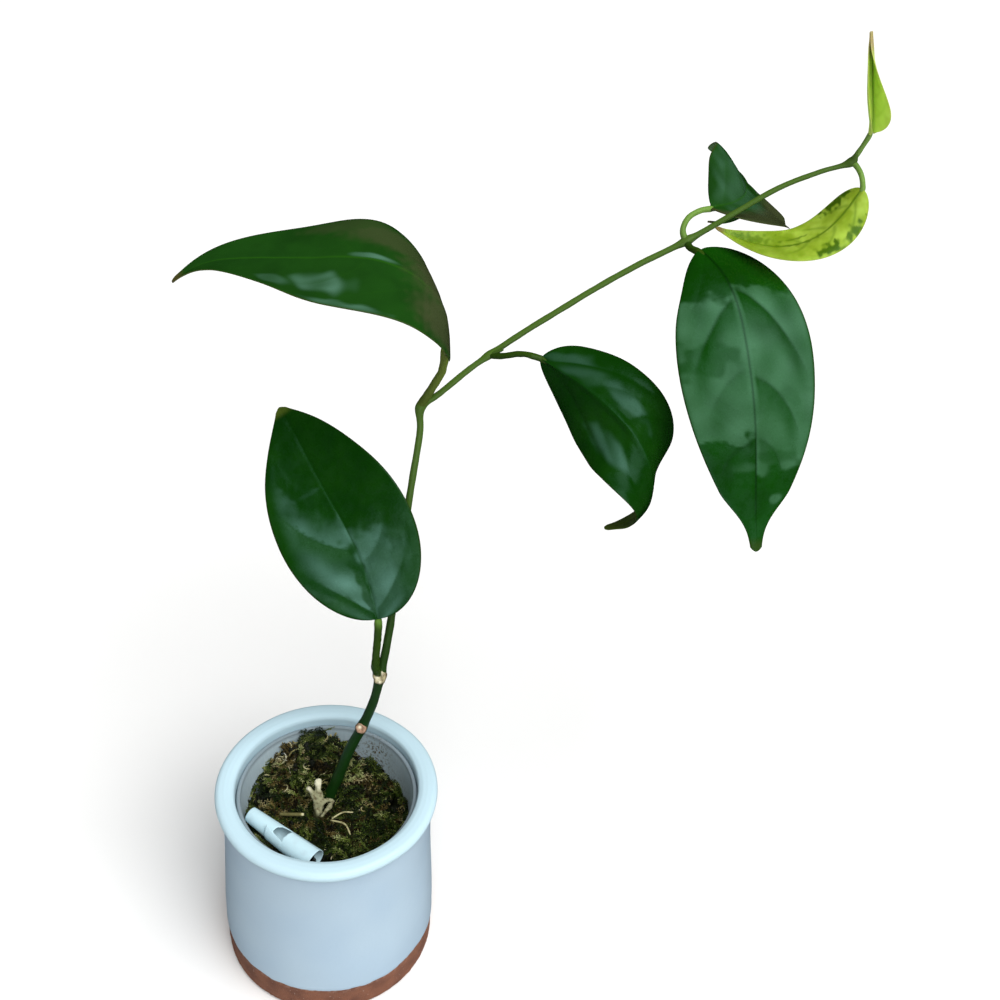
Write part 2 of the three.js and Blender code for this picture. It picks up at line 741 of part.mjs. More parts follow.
/** The label with its torn notch. */
function plantLabel() {
  const strip = sheetSolid(labelRows(0, 0), () => LABEL_THICKNESS);
  const middle = vector(LABEL_START).lerp(vector(LABEL_END), TEAR_AT);
  const tear = new THREE.Shape(TEAR_OUTLINE.map(([x, y]) => new THREE.Vector2(x, y)));
  const heading = Math.atan2(LABEL_END[1] - LABEL_START[1], LABEL_END[0] - LABEL_START[0]);
  const cutter = new THREE.ExtrudeGeometry(tear, { depth: TEAR_DEPTH, bevelEnabled: false })
    .rotateZ(heading)
    .translate(middle.x, middle.y, middle.z + TEAR_FLOOR);
  return strip.subtract(solidFromGeometry(cutter));
}

const plant = new THREE.Group();
plant.name = 'potted_hoya';

const pot = new THREE.Mesh(
  ceramicPot(),
  new THREE.MeshStandardMaterial({ color: GLAZE, roughness: 0.3, metalness: 0 }),
);
pot.name = 'ceramic_pot';
plant.add(pot);
plant.add(meshFromSolid('nursery_pot', nurseryPot(), NURSERY_PLASTIC, 0.5));

const stemRoom = mainStem(CLEARANCE);
const label = plantLabel();
const labelRoom = sheetSolid(
  labelRows(LABEL_ROOM_BEYOND, LABEL_ROOM_ARC),
  () => LABEL_THICKNESS + 2 * CLEARANCE,
);
const moss = mossPlug().subtract(stemRoom).subtract(dryRoot(CLEARANCE)).subtract(labelRoom);
plant.add(meshFromSolid('moss', moss, MOSS_GREEN, 0.95));
plant.add(meshFromSolid('dry_root', dryRoot(0), DEAD_WOOD, 0.8));
plant.add(meshFromSolid('plant_label', label, LABEL_WHITE, 0.4));
plant.add(meshFromSolid('main_stem', mainStem(0), STEM_GREEN, 0.5));
for (const [name, leaf] of Object.entries(LEAVES)) {
  plant.add(meshFromSolid(name, leafSolid(leaf, stemRoom), leaf.color, 0.3));
}

export default plant;
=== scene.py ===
"""Potted hoya: a young climbing vine in a small glazed pot, dressed for rendering.

Sizes are millimetres in the plant's own frame. The origin is the middle of the pot's foot, +Z is
up, and the camera looks along +Y. Meshes are turned to metres as they are made.
"""

from __future__ import annotations

import logging
import math
from dataclasses import dataclass, field
from enum import Enum
from functools import cached_property
from typing import Iterable, Sequence

import bpy
import numpy as np
from mathutils import Matrix, Vector

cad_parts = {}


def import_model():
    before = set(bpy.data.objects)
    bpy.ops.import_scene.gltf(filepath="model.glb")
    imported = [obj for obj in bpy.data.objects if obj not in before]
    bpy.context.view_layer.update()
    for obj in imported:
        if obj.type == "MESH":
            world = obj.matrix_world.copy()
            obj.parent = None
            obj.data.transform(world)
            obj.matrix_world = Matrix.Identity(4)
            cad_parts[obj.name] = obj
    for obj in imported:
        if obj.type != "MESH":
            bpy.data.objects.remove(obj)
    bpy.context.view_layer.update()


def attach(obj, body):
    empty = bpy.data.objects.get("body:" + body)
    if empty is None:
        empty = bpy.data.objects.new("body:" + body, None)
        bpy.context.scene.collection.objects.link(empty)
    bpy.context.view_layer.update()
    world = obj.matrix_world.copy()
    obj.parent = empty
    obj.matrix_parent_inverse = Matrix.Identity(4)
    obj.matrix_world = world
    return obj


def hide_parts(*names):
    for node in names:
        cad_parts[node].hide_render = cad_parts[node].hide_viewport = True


log = logging.getLogger("potted_hoya")

Array = np.ndarray
Point = tuple[float, float, float]
Points = tuple[Point, ...]
Pair = tuple[float, float]
Pairs = tuple[Pair, ...]
Numbers = tuple[float, ...]
Piece = bpy.types.Object
Material = bpy.types.Material
Tree = bpy.types.NodeTree
Socket = bpy.types.NodeSocket
Inputs = dict[str, object]

MM = 0.001
BODY = "root"

# Sockets of the Mix node when it mixes colours
MIX_FACTOR = 0
MIX_A = 6
MIX_B = 7
MIX_RESULT = 2


class Side(Enum):
    """The two halves of a leaf blade, seen from above with the tip pointing away.

    The value is the sign of the shares across.
    """

    LEFT = 1
    RIGHT = -1


class Tone(Enum):
    """Families of moss strand."""

    GREEN = "green"
    BROWN = "brown"
    STRAW = "straw"


# Curves and noise


def mix(a: Array | float, b: Array | float, t: Array | float) -> Array | float:
    """A value between a and b at share t."""
    return a + (b - a) * t


def ease(x: Array, low: float, high: float) -> Array:
    """0 below low, 1 above high, and 3t^2 - 2t^3 between. low may be the greater one."""
    t = np.clip((x - low) / (high - low), 0.0, 1.0)
    return t * t * (3.0 - 2.0 * t)


def shares(count: int) -> Array:
    """Equal steps from 0 to 1."""
    return np.linspace(0.0, 1.0, count)


def rounded(share: Array, reach: float, least: float) -> Array:
    """Radius share of a bar that rounds off to its end: a root that falls over the reach."""
    return np.sqrt(np.clip((1.0 - share) / reach, least, 1.0))


def bell(distance: Array, spread: float) -> Array:
    """A bell curve of height 1: e to the minus half of the squared distance in spreads."""
    return np.exp(-0.5 * (distance / spread) ** 2)


def through(stations: Sequence[float], s: Array) -> Array:
    """A smooth curve through equally spaced stations.

    Each stretch is a Catmull-Rom cubic of its two ends and their neighbours.

    Args:
        stations: Values at s = 0 to 1, equally spaced.
        s: Shares of the way, any shape.

    Returns:
        The value at each share.
    """
    values = np.asarray(stations, float)
    last = len(values) - 1
    x = np.clip(s, 0.0, 1.0) * last
    i = np.minimum(x.astype(int), last - 1)
    f = x - i
    before = values[np.maximum(i - 1, 0)]
    start = values[i]
    end = values[i + 1]
    after = values[np.minimum(i + 2, last)]
    slope = (end - before) * f
    bend = (2 * before - 5 * start + 4 * end - after) * f**2
    turn = (3 * start - before - 3 * end + after) * f**3
    return 0.5 * (2 * start + slope + bend + turn)


def around(count: int) -> Array:
    """Equally spaced angles of a full turn, in radians."""
    return 2.0 * np.pi * np.arange(count) / count


def polar(radius: Array | float, angle: Array, *heights: Array) -> Array:
    """Points from radii and angles in radians, with a height each if heights are given."""
    return np.stack([radius * np.cos(angle), radius * np.sin(angle), *heights], -1)


def unit(vectors: Array) -> Array:
    """Vectors made one long, along the last axis."""
    length = np.linalg.norm(vectors, axis=-1, keepdims=True)
    return vectors / np.maximum(length, 1e-9)


def ripples(points: Array, wavelength: float, seed: int, waves: int = 20) -> Array:
    """Smooth noise: a sum of plane sine waves of about one wavelength in random directions.

    Args:
        points: Places, with 2 or 3 numbers along the last axis.
        wavelength: Middle wavelength, in the units of the points.
        seed: Seed of the directions and phases.
        waves: How many waves are summed.

    Returns:
        The noise at each place, with a spread of about 1.
    """
    rng = np.random.default_rng(seed)
    directions = unit(rng.normal(size=(waves, points.shape[-1])))
    lengths = wavelength * rng.uniform(0.7, 1.4, (waves, 1))
    phases = rng.uniform(0.0, 2.0 * np.pi, waves)
    angles = points @ (directions * 2.0 * np.pi / lengths).T + phases
    return np.sin(angles).sum(-1) * math.sqrt(2.0 / waves)


def rough(points: Array, layers: Pairs, seed: int) -> Array:
    """Noise in layers of a height and a wavelength each. Seeds count up from the first."""
    return sum(high * ripples(points, wave, seed + k) for k, (high, wave) in enumerate(layers))


def smooth_route(points: Sequence[Point], count: int) -> Array:
    """Evenly spaced places on a centripetal Catmull-Rom spline through the given points.

    Args:
        points: The points that the spline passes.
        count: How many places are wanted.

    Returns:
        An array of count rows of x, y and z.
    """
    inner = np.asarray(points, float)
    ends = (2 * inner[:1] - inner[1:2], inner, 2 * inner[-1:] - inner[-2:-1])
    p = np.concatenate(ends)
    knots = np.sqrt(np.linalg.norm(np.diff(p, axis=0), axis=1))[:, None]
    d0, d1, d2 = knots[:-2], knots[1:-1], knots[2:]
    p0, p1, p2, p3 = p[:-3], p[1:-2], p[2:-1], p[3:]
    leave = ((p1 - p0) / d0 - (p2 - p0) / (d0 + d1) + (p2 - p1) / d1) * d1
    arrive = ((p2 - p1) / d1 - (p3 - p1) / (d1 + d2) + (p3 - p2) / d2) * d1
    f = np.linspace(0.0, 1.0, 24, endpoint=False)[None, :, None]
    cubic = (
        (2 * f**3 - 3 * f**2 + 1) * p1[:, None]
        + (f**3 - 2 * f**2 + f) * leave[:, None]
        + (3 * f**2 - 2 * f**3) * p2[:, None]
        + (f**3 - f**2) * arrive[:, None]
    )
    dense = np.concatenate([cubic.reshape(-1, 3), inner[-1:]])
    run = np.concatenate([[0.0], np.cumsum(np.linalg.norm(np.diff(dense, axis=0), axis=1))])
    wanted = np.linspace(0.0, run[-1], count)
    return np.stack([np.interp(wanted, run, dense[:, k]) for k in range(3)], -1)


# Meshes


@dataclass
class Shape:
    """A closed surface: its points and faces, with named values on the points.

    Attributes:
        points: Rows of x, y and z in millimetres.
        faces: Arrays of point numbers, one array for each count of corners.
        values: Values on the points that materials read by name.
        dress: The material's number for each face, in the order of faces.
    """

    points: Array
    faces: list[Array]
    values: dict[str, Array] = field(default_factory=dict)
    dress: Array | None = None

    def volume(self) -> float:
        """Signed volume, from a fan of each face's corners to the origin.

        Returns:
            Cubic millimetres.
        """
        total = 0.0
        for group in self.faces:
            first = self.points[group[:, 0]]
            for k in range(1, group.shape[1] - 1):
                cross = np.cross(self.points[group[:, k]], self.points[group[:, k + 1]])
                total += float((first * cross).sum()) / 6.0
        return total

    def outward(self) -> Shape:
        """The same shape, with its faces turned round if they point inwards."""
        if self.volume() < 0.0:
            self.faces = [group[:, ::-1] for group in self.faces]
        return self

    def piece(self, name: str, *finishes: Finish) -> Piece:
        """Makes the Blender object, smooth shaded, at the origin.

        Args:
            name: The object's name.
            finishes: Its finishes, numbered as dress numbers them.

        Returns:
            The new object, linked to the scene.
        """
        mesh = bpy.data.meshes.new(name)
        corners = np.concatenate([group.ravel() for group in self.faces])
        totals = np.concatenate([np.full(len(g), g.shape[1]) for g in self.faces])
        starts = np.concatenate([[0], np.cumsum(totals)[:-1]])
        mesh.vertices.add(len(self.points))
        mesh.vertices.foreach_set("co", (self.points * MM).astype(np.float32).ravel())
        mesh.loops.add(len(corners))
        mesh.loops.foreach_set("vertex_index", corners.astype(np.int32))
        mesh.polygons.add(len(totals))
        mesh.polygons.foreach_set("loop_start", starts.astype(np.int32))
        mesh.polygons.foreach_set("use_smooth", np.ones(len(totals), bool))
        if self.dress is not None:
            mesh.polygons.foreach_set("material_index", self.dress.astype(np.int32))
        stamp(mesh, self.values)
        mesh.update(calc_edges=True)
        for finish in finishes:
            mesh.materials.append(finish.material())
        return linked(bpy.data.objects.new(name, mesh))


def stamp(mesh: bpy.types.Mesh, values: dict[str, Array]) -> None:
    """Puts named values on a mesh's points, where its materials read them.

    Args:
        mesh: The mesh.
        values: The values by name, one to a point.
    """
    for name, value in values.items():
        attribute = mesh.attributes.new(name, "FLOAT", "POINT")
        attribute.data.foreach_set("value", value.astype(np.float32).ravel())


def joined(shapes: Sequence[Shape]) -> Shape:
    """Several shapes as one, without merging their points.

    Args:
        shapes: Shapes that carry the same named values.

    Returns:
        One shape.
    """
    offsets = np.concatenate([[0], np.cumsum([len(s.points) for s in shapes])[:-1]])
    faces = [group + offset for s, offset in zip(shapes, offsets) for group in s.faces]
    values = {
        key: np.concatenate([s.values[key].ravel() for s in shapes]) for key in shapes[0].values
    }
    return Shape(np.concatenate([s.points for s in shapes]), faces, values)


def sheet(upper: Array, lower: Array, keep: Array | None = None) -> Shape:
    """A closed sheet between two grids of points, walled along the edge of what is kept.

    Args:
        upper: Points of the upper face, rows by columns by 3.
        lower: Points of the lower face, of the same shape.
        keep: Which cells of the grid exist, or all of them.

    Returns:
        The closed shape, with the upper points before the lower ones.
    """
    rows, columns = upper.shape[:2]
    at = np.arange(rows * columns).reshape(rows, columns)
    a, b, c, d = at[:-1, :-1], at[1:, :-1], at[1:, 1:], at[:-1, 1:]
    if keep is None:
        keep = np.ones((rows - 1, columns - 1), bool)
    held = np.pad(keep, 1)
    edges = (
        (a, b, held[1:-1, :-2]), (b, c, held[2:, 1:-1]), (c, d, held[1:-1, 2:]),
        (d, a, held[:-2, 1:-1])
    )
    below = rows * columns
    quads = [
        np.stack([a[keep], b[keep], c[keep], d[keep]], -1),
        np.stack([d[keep], c[keep], b[keep], a[keep]], -1) + below
    ]
    for start, end, neighbour in edges:
        rim = keep & ~neighbour
        x, y = start[rim], end[rim]
        quads.append(np.stack([y, x, x + below, y + below], -1))
    points = np.concatenate([upper.reshape(-1, 3), lower.reshape(-1, 3)])
    return Shape(points, [np.concatenate(quads)]).outward()


def tubes(paths: Array, radii: Array, sides: int) -> Shape:
    """Closed round bars along one path or many, each ring square to its path.

    Args:
        paths: Places along each bar, bars by stations by 3.
        radii: Radius at each station, bars by stations.
        sides: Corners of each ring.

    Returns:
        One shape that holds all the bars, their ends closed by a flat cap.
    """
    bars, stations = paths.shape[:2]
    along = unit(np.gradient(paths, axis=1))
    lean = np.abs(along).max(axis=1)
    reference = np.eye(3)[lean.argmin(-1)][:, None]
    side = unit(np.cross(along, reference))
    other = np.cross(along, side)
    angle = around(sides)
    ring = side[:, :, None] * np.cos(angle)[:, None] + other[:, :, None] * np.sin(angle)[:, None]
    points = paths[:, :, None] + radii[:, :, None, None] * ring
    at = np.arange(bars * stations * sides).reshape(bars, stations, sides)
    a = at[:, :-1]
    b = np.roll(a, -1, axis=2)
    d = at[:, 1:]
    c = np.roll(d, -1, axis=2)
    walls = np.stack([a, b, c, d], -1).reshape(-1, 4)
    caps = np.concatenate([at[:, 0, ::-1], at[:, -1]])
    faces = [np.concatenate([walls, caps])] if sides == 4 else [walls, caps]
    return Shape(points.reshape(-1, 3), faces)


def bar(path: Array, radius: Array, sides: int) -> Shape:
    """One closed round bar along a path."""
    return tubes(path[None], radius[None], sides)


def turned(radius: Array, height: Array) -> Shape:
    """A closed body turned round Z from rings that may wander with the angle.

    The first and the last ring are closed to a point on the axis at their own height.

    Args:
        radius: Radius of each ring at each angle, rings by spokes.
        height: Height of each ring at each angle, of the same shape.

    Returns:
        The closed shape. Its last two points are the poles.
    """
    rings, spokes = radius.shape
    angle = around(spokes)
    points = polar(radius, angle, height).reshape(-1, 3)
    at = np.arange(rings * spokes).reshape(rings, spokes)
    a = at[:-1]
    b = np.roll(a, -1, axis=1)
    d = at[1:]
    c = np.roll(d, -1, axis=1)
    walls = np.stack([a, b, c, d], -1).reshape(-1, 4)
    first = len(points)
    poles = np.array([[0.0, 0.0, height[0].mean()], [0.0, 0.0, height[-1].mean()]])
    start = np.stack([np.full(spokes, first), np.roll(at[0], -1), at[0]], -1)
    end = np.stack([np.full(spokes, first + 1), at[-1], np.roll(at[-1], -1)], -1)
    return Shape(np.concatenate([points, poles]), [walls, np.concatenate([start, end])]).outward()


def row(start: float, end: float, z: float, count: int) -> Array:
    """Points of a level stretch of a turned profile, from one radius to another."""
    return np.stack([np.linspace(start, end, count), np.full(count, z)], -1)


def spread(profile: Array, spokes: int) -> tuple[Array, Array]:
    """A profile's radii and heights, repeated for each spoke."""
    return tuple(np.repeat(profile[:, k : k + 1], spokes, axis=1) for k in (0, 1))


def arc(r: float, z: float, radius: float, start: float, end: float, count: int) -> Array:
    """Points round an arc about (r, z) of a turned profile, in degrees from +r towards +z."""
    angle = np.radians(np.linspace(start, end, count))
    return polar(radius, angle) + (r, z)


def linked(thing: Piece) -> Piece:
    """The same object, linked to the scene."""
    bpy.context.scene.collection.objects.link(thing)
    return thing


def settle(piece: Piece, nodes: Iterable[str]) -> None:
    """Says what a finished piece rides on and which solids it stands for.

    Args:
        piece: The finished object.
        nodes: The solids that it replaces.
    """
    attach(piece, BODY)
    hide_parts(*nodes)
    log.info("%s: %d faces", piece.name, len(piece.data.polygons))


# Materials


def colour(code: str) -> tuple[float, float, float, float]:
    """An sRGB hex colour as linear red, green and blue with an alpha of 1."""
    parts = (int(code[k : k + 2], 16) / 255.0 for k in (1, 3, 5))
    return (*(c / 12.92 if c <= 0.04045 else ((c + 0.055) / 1.055) ** 2.4 for c in parts), 1.0)


def wire(tree: Tree, node: bpy.types.Node, inputs: dict[str | int, object]) -> None:
    """Gives each named input of a node a value, or a link from another node's output.

    Args:
        tree: The node tree.
        node: The node.
        inputs: A value or an output for each input.
    """
    for name, value in inputs.items():
        if isinstance(value, Socket):
            tree.links.new(value, node.inputs[name])
        else:
            node.inputs[name].default_value = value


def add_node(
    tree: Tree, kind: str, settings: dict[str, object] | None = None,
    inputs: dict[str | int, object] | None = None
) -> bpy.types.Node:
    """Adds a node to a tree.

    Args:
        tree: The node tree.
        kind: The node's type, without the ShaderNode that it starts with.
        settings: The node's own settings, by name.
        inputs: A value or another node's output for each input, by name or number.

    Returns:
        The new node.
    """
    node = tree.nodes.new("ShaderNode" + kind)
    for name, value in (settings or {}).items():
        setattr(node, name, value)
    wire(tree, node, inputs or {})
    return node


def per_metre(size: float) -> float:
    """The texture scale whose features are about a size in millimetres."""
    return 1.0 / (size * MM)


@dataclass(frozen=True)
class Grain:
    """A random pattern of a real size on a piece's own coordinates.

    Attributes:
        size: Width of its features in millimetres.
        detail: Octaves of finer features.
        low: The noise value that becomes 0.
        high: The noise value that becomes 1.
        stretch: How many times longer than wide its features are along Z.
        least: What it gives at the low end.
        most: What it gives at the high end.
    """

    size: float
    detail: float = 2.0
    low: float = 0.3
    high: float = 0.7
    stretch: float = 1.0
    least: float = 0.0
    most: float = 1.0

    def on(self, tree: Tree) -> Socket:
        """Adds the pattern to a tree.

        Args:
            tree: The node tree.

        Returns:
            The output that holds the pattern.
        """
        place = add_node(tree, "TexCoord").outputs["Object"]
        scale = (1.0, 1.0, 1.0 / self.stretch)
        drawn = add_node(tree, "Mapping", inputs={"Vector": place, "Scale": scale})
        source = add_node(
            tree, "TexNoise",
            inputs={
                "Vector": drawn.outputs["Vector"], "Scale": per_metre(self.size),
                "Detail": self.detail
            }
        )
        ranged = add_node(
            tree, "MapRange", {"interpolation_type": "SMOOTHSTEP"},
            {
                "Value": source.outputs["Fac"], "From Min": self.low, "From Max": self.high,
                "To Min": self.least, "To Max": self.most
            }
        )
        return ranged.outputs["Result"]

    def relief(self, tree: Tree, depth: float) -> Socket:
        """A normal for a relief of this pattern, a depth in millimetres high."""
        inputs = {"Height": self.on(tree), "Distance": depth * MM, "Strength": 1.0}
        return add_node(tree, "Bump", inputs=inputs).outputs["Normal"]


def painted(
    tree: Tree, ground: str | Socket, layers: Sequence[tuple[str | Grain | Socket, str]]
) -> Socket:
    """Colours laid over a ground one after another.

    Args:
        tree: The node tree.
        ground: The first colour, as hex or an output.
        layers: Pairs of a share and a hex colour. A share is an output, a pattern or the name
            of a value on the points.

    Returns:
        The output that holds the last colour.
    """
    held = colour(ground) if isinstance(ground, str) else ground
    for share, code in layers:
        if isinstance(share, str):
            share = add_node(tree, "Attribute", {"attribute_name": share}).outputs["Fac"]
        elif isinstance(share, Grain):
            share = share.on(tree)
        held = add_node(
            tree, "Mix", {"data_type": "RGBA"},
            {MIX_FACTOR: share, MIX_A: held, MIX_B: colour(code)}
        ).outputs[MIX_RESULT]
    return held


@dataclass(frozen=True)
class Finish:
    """One real surface. Each kind says what its main shader gets."""

    name: str

    def inputs(self, tree: Tree) -> Inputs:
        """The main shader's inputs.

        Args:
            tree: The node tree, which gets the nodes that feed them.

        Returns:
            A value or an output for each input.
        """
        raise NotImplementedError

    def material(self) -> Material:
        """Builds the material.

        Returns:
            The new material.
        """
        material = bpy.data.materials.new(self.name)
        material.use_nodes = True
        tree = material.node_tree
        wire(tree, tree.nodes["Principled BSDF"], self.inputs(tree))
        return material


@dataclass(frozen=True)
class LeafFinish(Finish):
    """A living leaf with a waxy skin: its wax gives a broad, soft-edged, greenish gloss.

    Attributes:
        deep: Tone that the upper face drifts to.
        vein: Colour along the midrib and the lateral veins.
        flush: Tone of the sun-browned areas.
        mottle: Tone of the darker patches.
        painted_sheen: Colour of the painted sheen, a pale painted reflection on the upper face.
        drift: The pattern in which the face turns deep.
        gloss: Strength of the wax's reflection.
        glow: How much light passes through the flesh.
    """

    face: str
    deep: str
    vein: str
    underside: str
    margin: str
    tip: str
    flush: str = ""
    mottle: str = ""
    painted_sheen: str = ""
    drift: Grain = Grain(14.0, 2.0, 0.35, 0.7)
    roughness: float = 0.28
    gloss: float = 0.25
    glow: float = 0.0

    def inputs(self, tree: Tree) -> Inputs:
        """Colours and gloss, from the values that the blade carries on its points."""
        # The pale sheen layer is painted sheen: a painted reflection laid on the upper face
        layers = [
            (self.drift, self.deep), ("mottle", self.mottle), ("rib", self.vein),
            ("under", self.underside), ("flush", self.flush), ("painted_sheen", self.painted_sheen),
            ("rim", self.margin), ("tip", self.tip)
        ]
        layers = [(share, code) for share, code in layers if code]
        uneven = Grain(3.0, 3.0, least=self.roughness - 0.05, most=self.roughness + 0.06)
        under = add_node(tree, "Attribute", {"attribute_name": "under"}).outputs["Fac"]
        matt = add_node(
            tree, "Math", {"operation": "MULTIPLY_ADD"}, {0: under, 1: 0.3, 2: uneven.on(tree)}
        )
        # Skin cells are far under a pixel, so the relief is drawn ten times as coarse
        return {
            "Base Color": painted(tree, self.face, layers), "Roughness": matt.outputs[0],
            "IOR": 1.45, "Specular IOR Level": self.gloss, "Specular Tint": colour("#c0fff0"),
            "Subsurface Weight": self.glow, "Subsurface Radius": (0.6, 1.0, 0.3),
            "Subsurface Scale": 1.2 * MM, "Normal": Grain(1.3, 3.0).relief(tree, 0.015)
        }


@dataclass(frozen=True)
class StemFinish(Finish):
    """A smooth green stem: a satin skin that darkens with age towards the foot.

    Attributes:
        skin: Colour of the young stem.
        shade: Colour of the old stem.
        streak: Colour of the faint streaks along it.
        knob: Colour of the knob under a blade, if it has a pale one.
    """

    skin: str
    shade: str
    streak: str
    knob: str = ""

    def inputs(self, tree: Tree) -> Inputs:
        """Streaks 0.8 mm wide and ten times as long, over a satin skin."""
        streaks = Grain(0.8, 2.0, 0.5, 0.8, stretch=10.0, most=0.35)
        layers = [(streaks, self.streak), ("old", self.shade)]
        if self.knob:
            layers.append(("pale", self.knob))
        return {
            "Base Color": painted(tree, self.skin, layers), "Roughness": 0.38, "IOR": 1.42,
            "Specular IOR Level": 0.3, "Normal": Grain(0.8, 2.0, stretch=10.0).relief(tree, 0.03)
        }


@dataclass(frozen=True)
class GlazeFinish(Finish):
    """Fired pale blue glaze: glassy, with painted light that makes it paler on the lip and inside,
    and rare iron specks.
    """

    name: str = "pale_blue_glaze"
    body: str = "#b4cada"
    cloud: str = "#afc6d8"
    # Colour of the painted light on the lip and over the inside
    painted_light: str = "#c3dfea"
    speck: str = "#2d2f33"

    def inputs(self, tree: Tree) -> Inputs:
        """Clouds 30 mm wide and specks about 0.5 mm wide, under a thin clear coat."""
        place = add_node(tree, "TexCoord").outputs["Object"]
        cells = add_node(tree, "TexVoronoi", inputs={"Vector": place, "Scale": per_metre(9.0)})
        near = add_node(
            tree, "MapRange", {"interpolation_type": "SMOOTHSTEP"},
            {"Value": cells.outputs["Distance"], "From Min": 0.045, "From Max": 0.02}
        )
        chosen = add_node(
            tree, "Math", {"operation": "GREATER_THAN"}, {0: cells.outputs["Color"], 1: 0.9}
        )
        specks = add_node(
            tree, "Math", {"operation": "MULTIPLY"}, {0: near.outputs[0], 1: chosen.outputs[0]}
        )
        layers = [
            (Grain(30.0, 1.0, 0.35, 0.7), self.cloud), ("painted_light_glaze", self.painted_light),
            (specks.outputs[0], self.speck)
        ]
        return {
            "Base Color": painted(tree, self.body, layers), "Roughness": 0.35,
            "Specular IOR Level": 0.3, "Coat Weight": 0.12, "Coat Roughness": 0.2,
            "Normal": Grain(5.0).relief(tree, 0.04)
        }


@dataclass(frozen=True)
class ClayFinish(Finish):
    """Bare terracotta: matt, gritty, with pale salt and glaze crumbs."""

    name: str = "bare_terracotta"
    body: str = "#86563f"
    burnt: str = "#714736"
    crumb: str = "#b79a88"

    def inputs(self, tree: Tree) -> Inputs:
        """Patches 9 mm wide, grit 0.7 mm wide and crumbs 1 mm wide."""
        layers = [
            (Grain(9.0, 3.0, 0.35, 0.7), self.burnt), ("chalk", self.crumb),
            (Grain(1.0, 1.0, 0.72, 0.8), self.crumb)
        ]
        return {
            "Base Color": painted(tree, self.body, layers), "Roughness": 0.85,
            "Normal": Grain(0.7, 2.0, 0.3, 0.75).relief(tree, 0.15)
        }


@dataclass(frozen=True)
class CupFinish(Finish):
    """Thin blow-moulded polypropylene: milky, scuffed, dusted with soil."""

    name: str = "milky_nursery_plastic"
    body: str = "#b0c3cb"
    scuff: str = "#becdd4"
    # Colour of the rim's bead: painted shade, darker than the wall
    lip: str = "#86949b"
    dirt: str = "#5e5236"

    def inputs(self, tree: Tree) -> Inputs:
        """Upright scuffs 1 mm wide, painted shade on the rim's bead, and soil grains 1.1 mm wide.
        """
        soiled = add_node(tree, "Attribute", {"attribute_name": "soil"}).outputs["Fac"]
        grains = Grain(1.1, 3.0, 0.5, 0.62).on(tree)
        dirt = add_node(tree, "Math", {"operation": "MULTIPLY"}, {0: grains, 1: soiled})
        layers = [
            (Grain(1.0, 2.0, 0.48, 0.75, stretch=9.0, most=0.7), self.scuff), ("edge", self.lip),
            (dirt.outputs[0], self.dirt)
        ]
        return {
            "Base Color": painted(tree, self.body, layers), "Roughness": 0.42,
            "Subsurface Weight": 0.15, "Subsurface Radius": (1.0, 1.0, 1.0),
            "Subsurface Scale": 1.0 * MM
        }


@dataclass(frozen=True)
class MossFinish(Finish):
    """Damp moss: each strand holds one tone between the colours of its family."""

    tones: tuple[str, ...]
    roughness: float = 0.5

    def inputs(self, tree: Tree) -> Inputs:
        """The strand's value tone picks a colour along the family's tones, under dark flecks of
        painted shade.
        """
        tone = add_node(tree, "Attribute", {"attribute_name": "tone"}).outputs["Fac"]
        ramp = add_node(tree, "ValToRGB", inputs={"Fac": tone})
        stops = ramp.color_ramp.elements
        while len(stops) < len(self.tones):
            stops.new(0.5)
        for k, code in enumerate(self.tones):
            stops[k].position = k / (len(self.tones) - 1)
            stops[k].color = colour(code)
        # Dark flecks of painted shade, standing for the gaps between strands
        shade_flecks = Grain(1.5, 2.0, 0.45, 0.75, most=0.8)
        return {
            "Base Color": painted(tree, ramp.outputs["Color"], [(shade_flecks, self.tones[0])]),
            "Roughness": self.roughness, "Normal": Grain(0.5, 2.0, 0.2, 0.8).relief(tree, 0.1)
        }


@dataclass(frozen=True)
class BarkFinish(Finish):
    """Dry bleached wood and healed bark: matt, with darker pits."""

    body: str
    pit: str
    pale: str
    darkened: str

    def inputs(self, tree: Tree) -> Inputs:
        """Pits about 1.4 mm wide. The value worn bares paler wood."""
        layers = [(Grain(1.4, 3.0, 0.45, 0.7), self.pit), ("worn", self.pale), ("darkened", self.darkened)]
        return {
            "Base Color": painted(tree, self.body, layers), "Roughness": 0.75,
            "Normal": Grain(0.6, 3.0, 0.25, 0.75).relief(tree, 0.12)
        }


@dataclass(frozen=True)
class LabelFinish(Finish):
    """Blank white polystyrene label stock: smooth, with a faint satin gloss."""

    name: str = "white_label_plastic"
    body: str = "#c4e2eb"
    grubby: str = "#b6cfd8"

    def inputs(self, tree: Tree) -> Inputs:
        """Faint grubby clouds 6 mm wide."""
        return {
            "Base Color": painted(tree, self.body, [(Grain(6.0, 3.0, 0.5, 0.8), self.grubby)]),
            "Roughness": 0.35, "Normal": Grain(2.0, 2.0, 0.2, 0.8).relief(tree, 0.01)
        }


@dataclass(frozen=True)
class FloorFinish(Finish):
    """Matt white studio board."""

    tone: str = "#f6f6f5"

    def inputs(self, tree: Tree) -> Inputs:
        """An even tone without a pattern."""
        return {"Base Color": colour(self.tone), "Roughness": 0.9}


# The pots


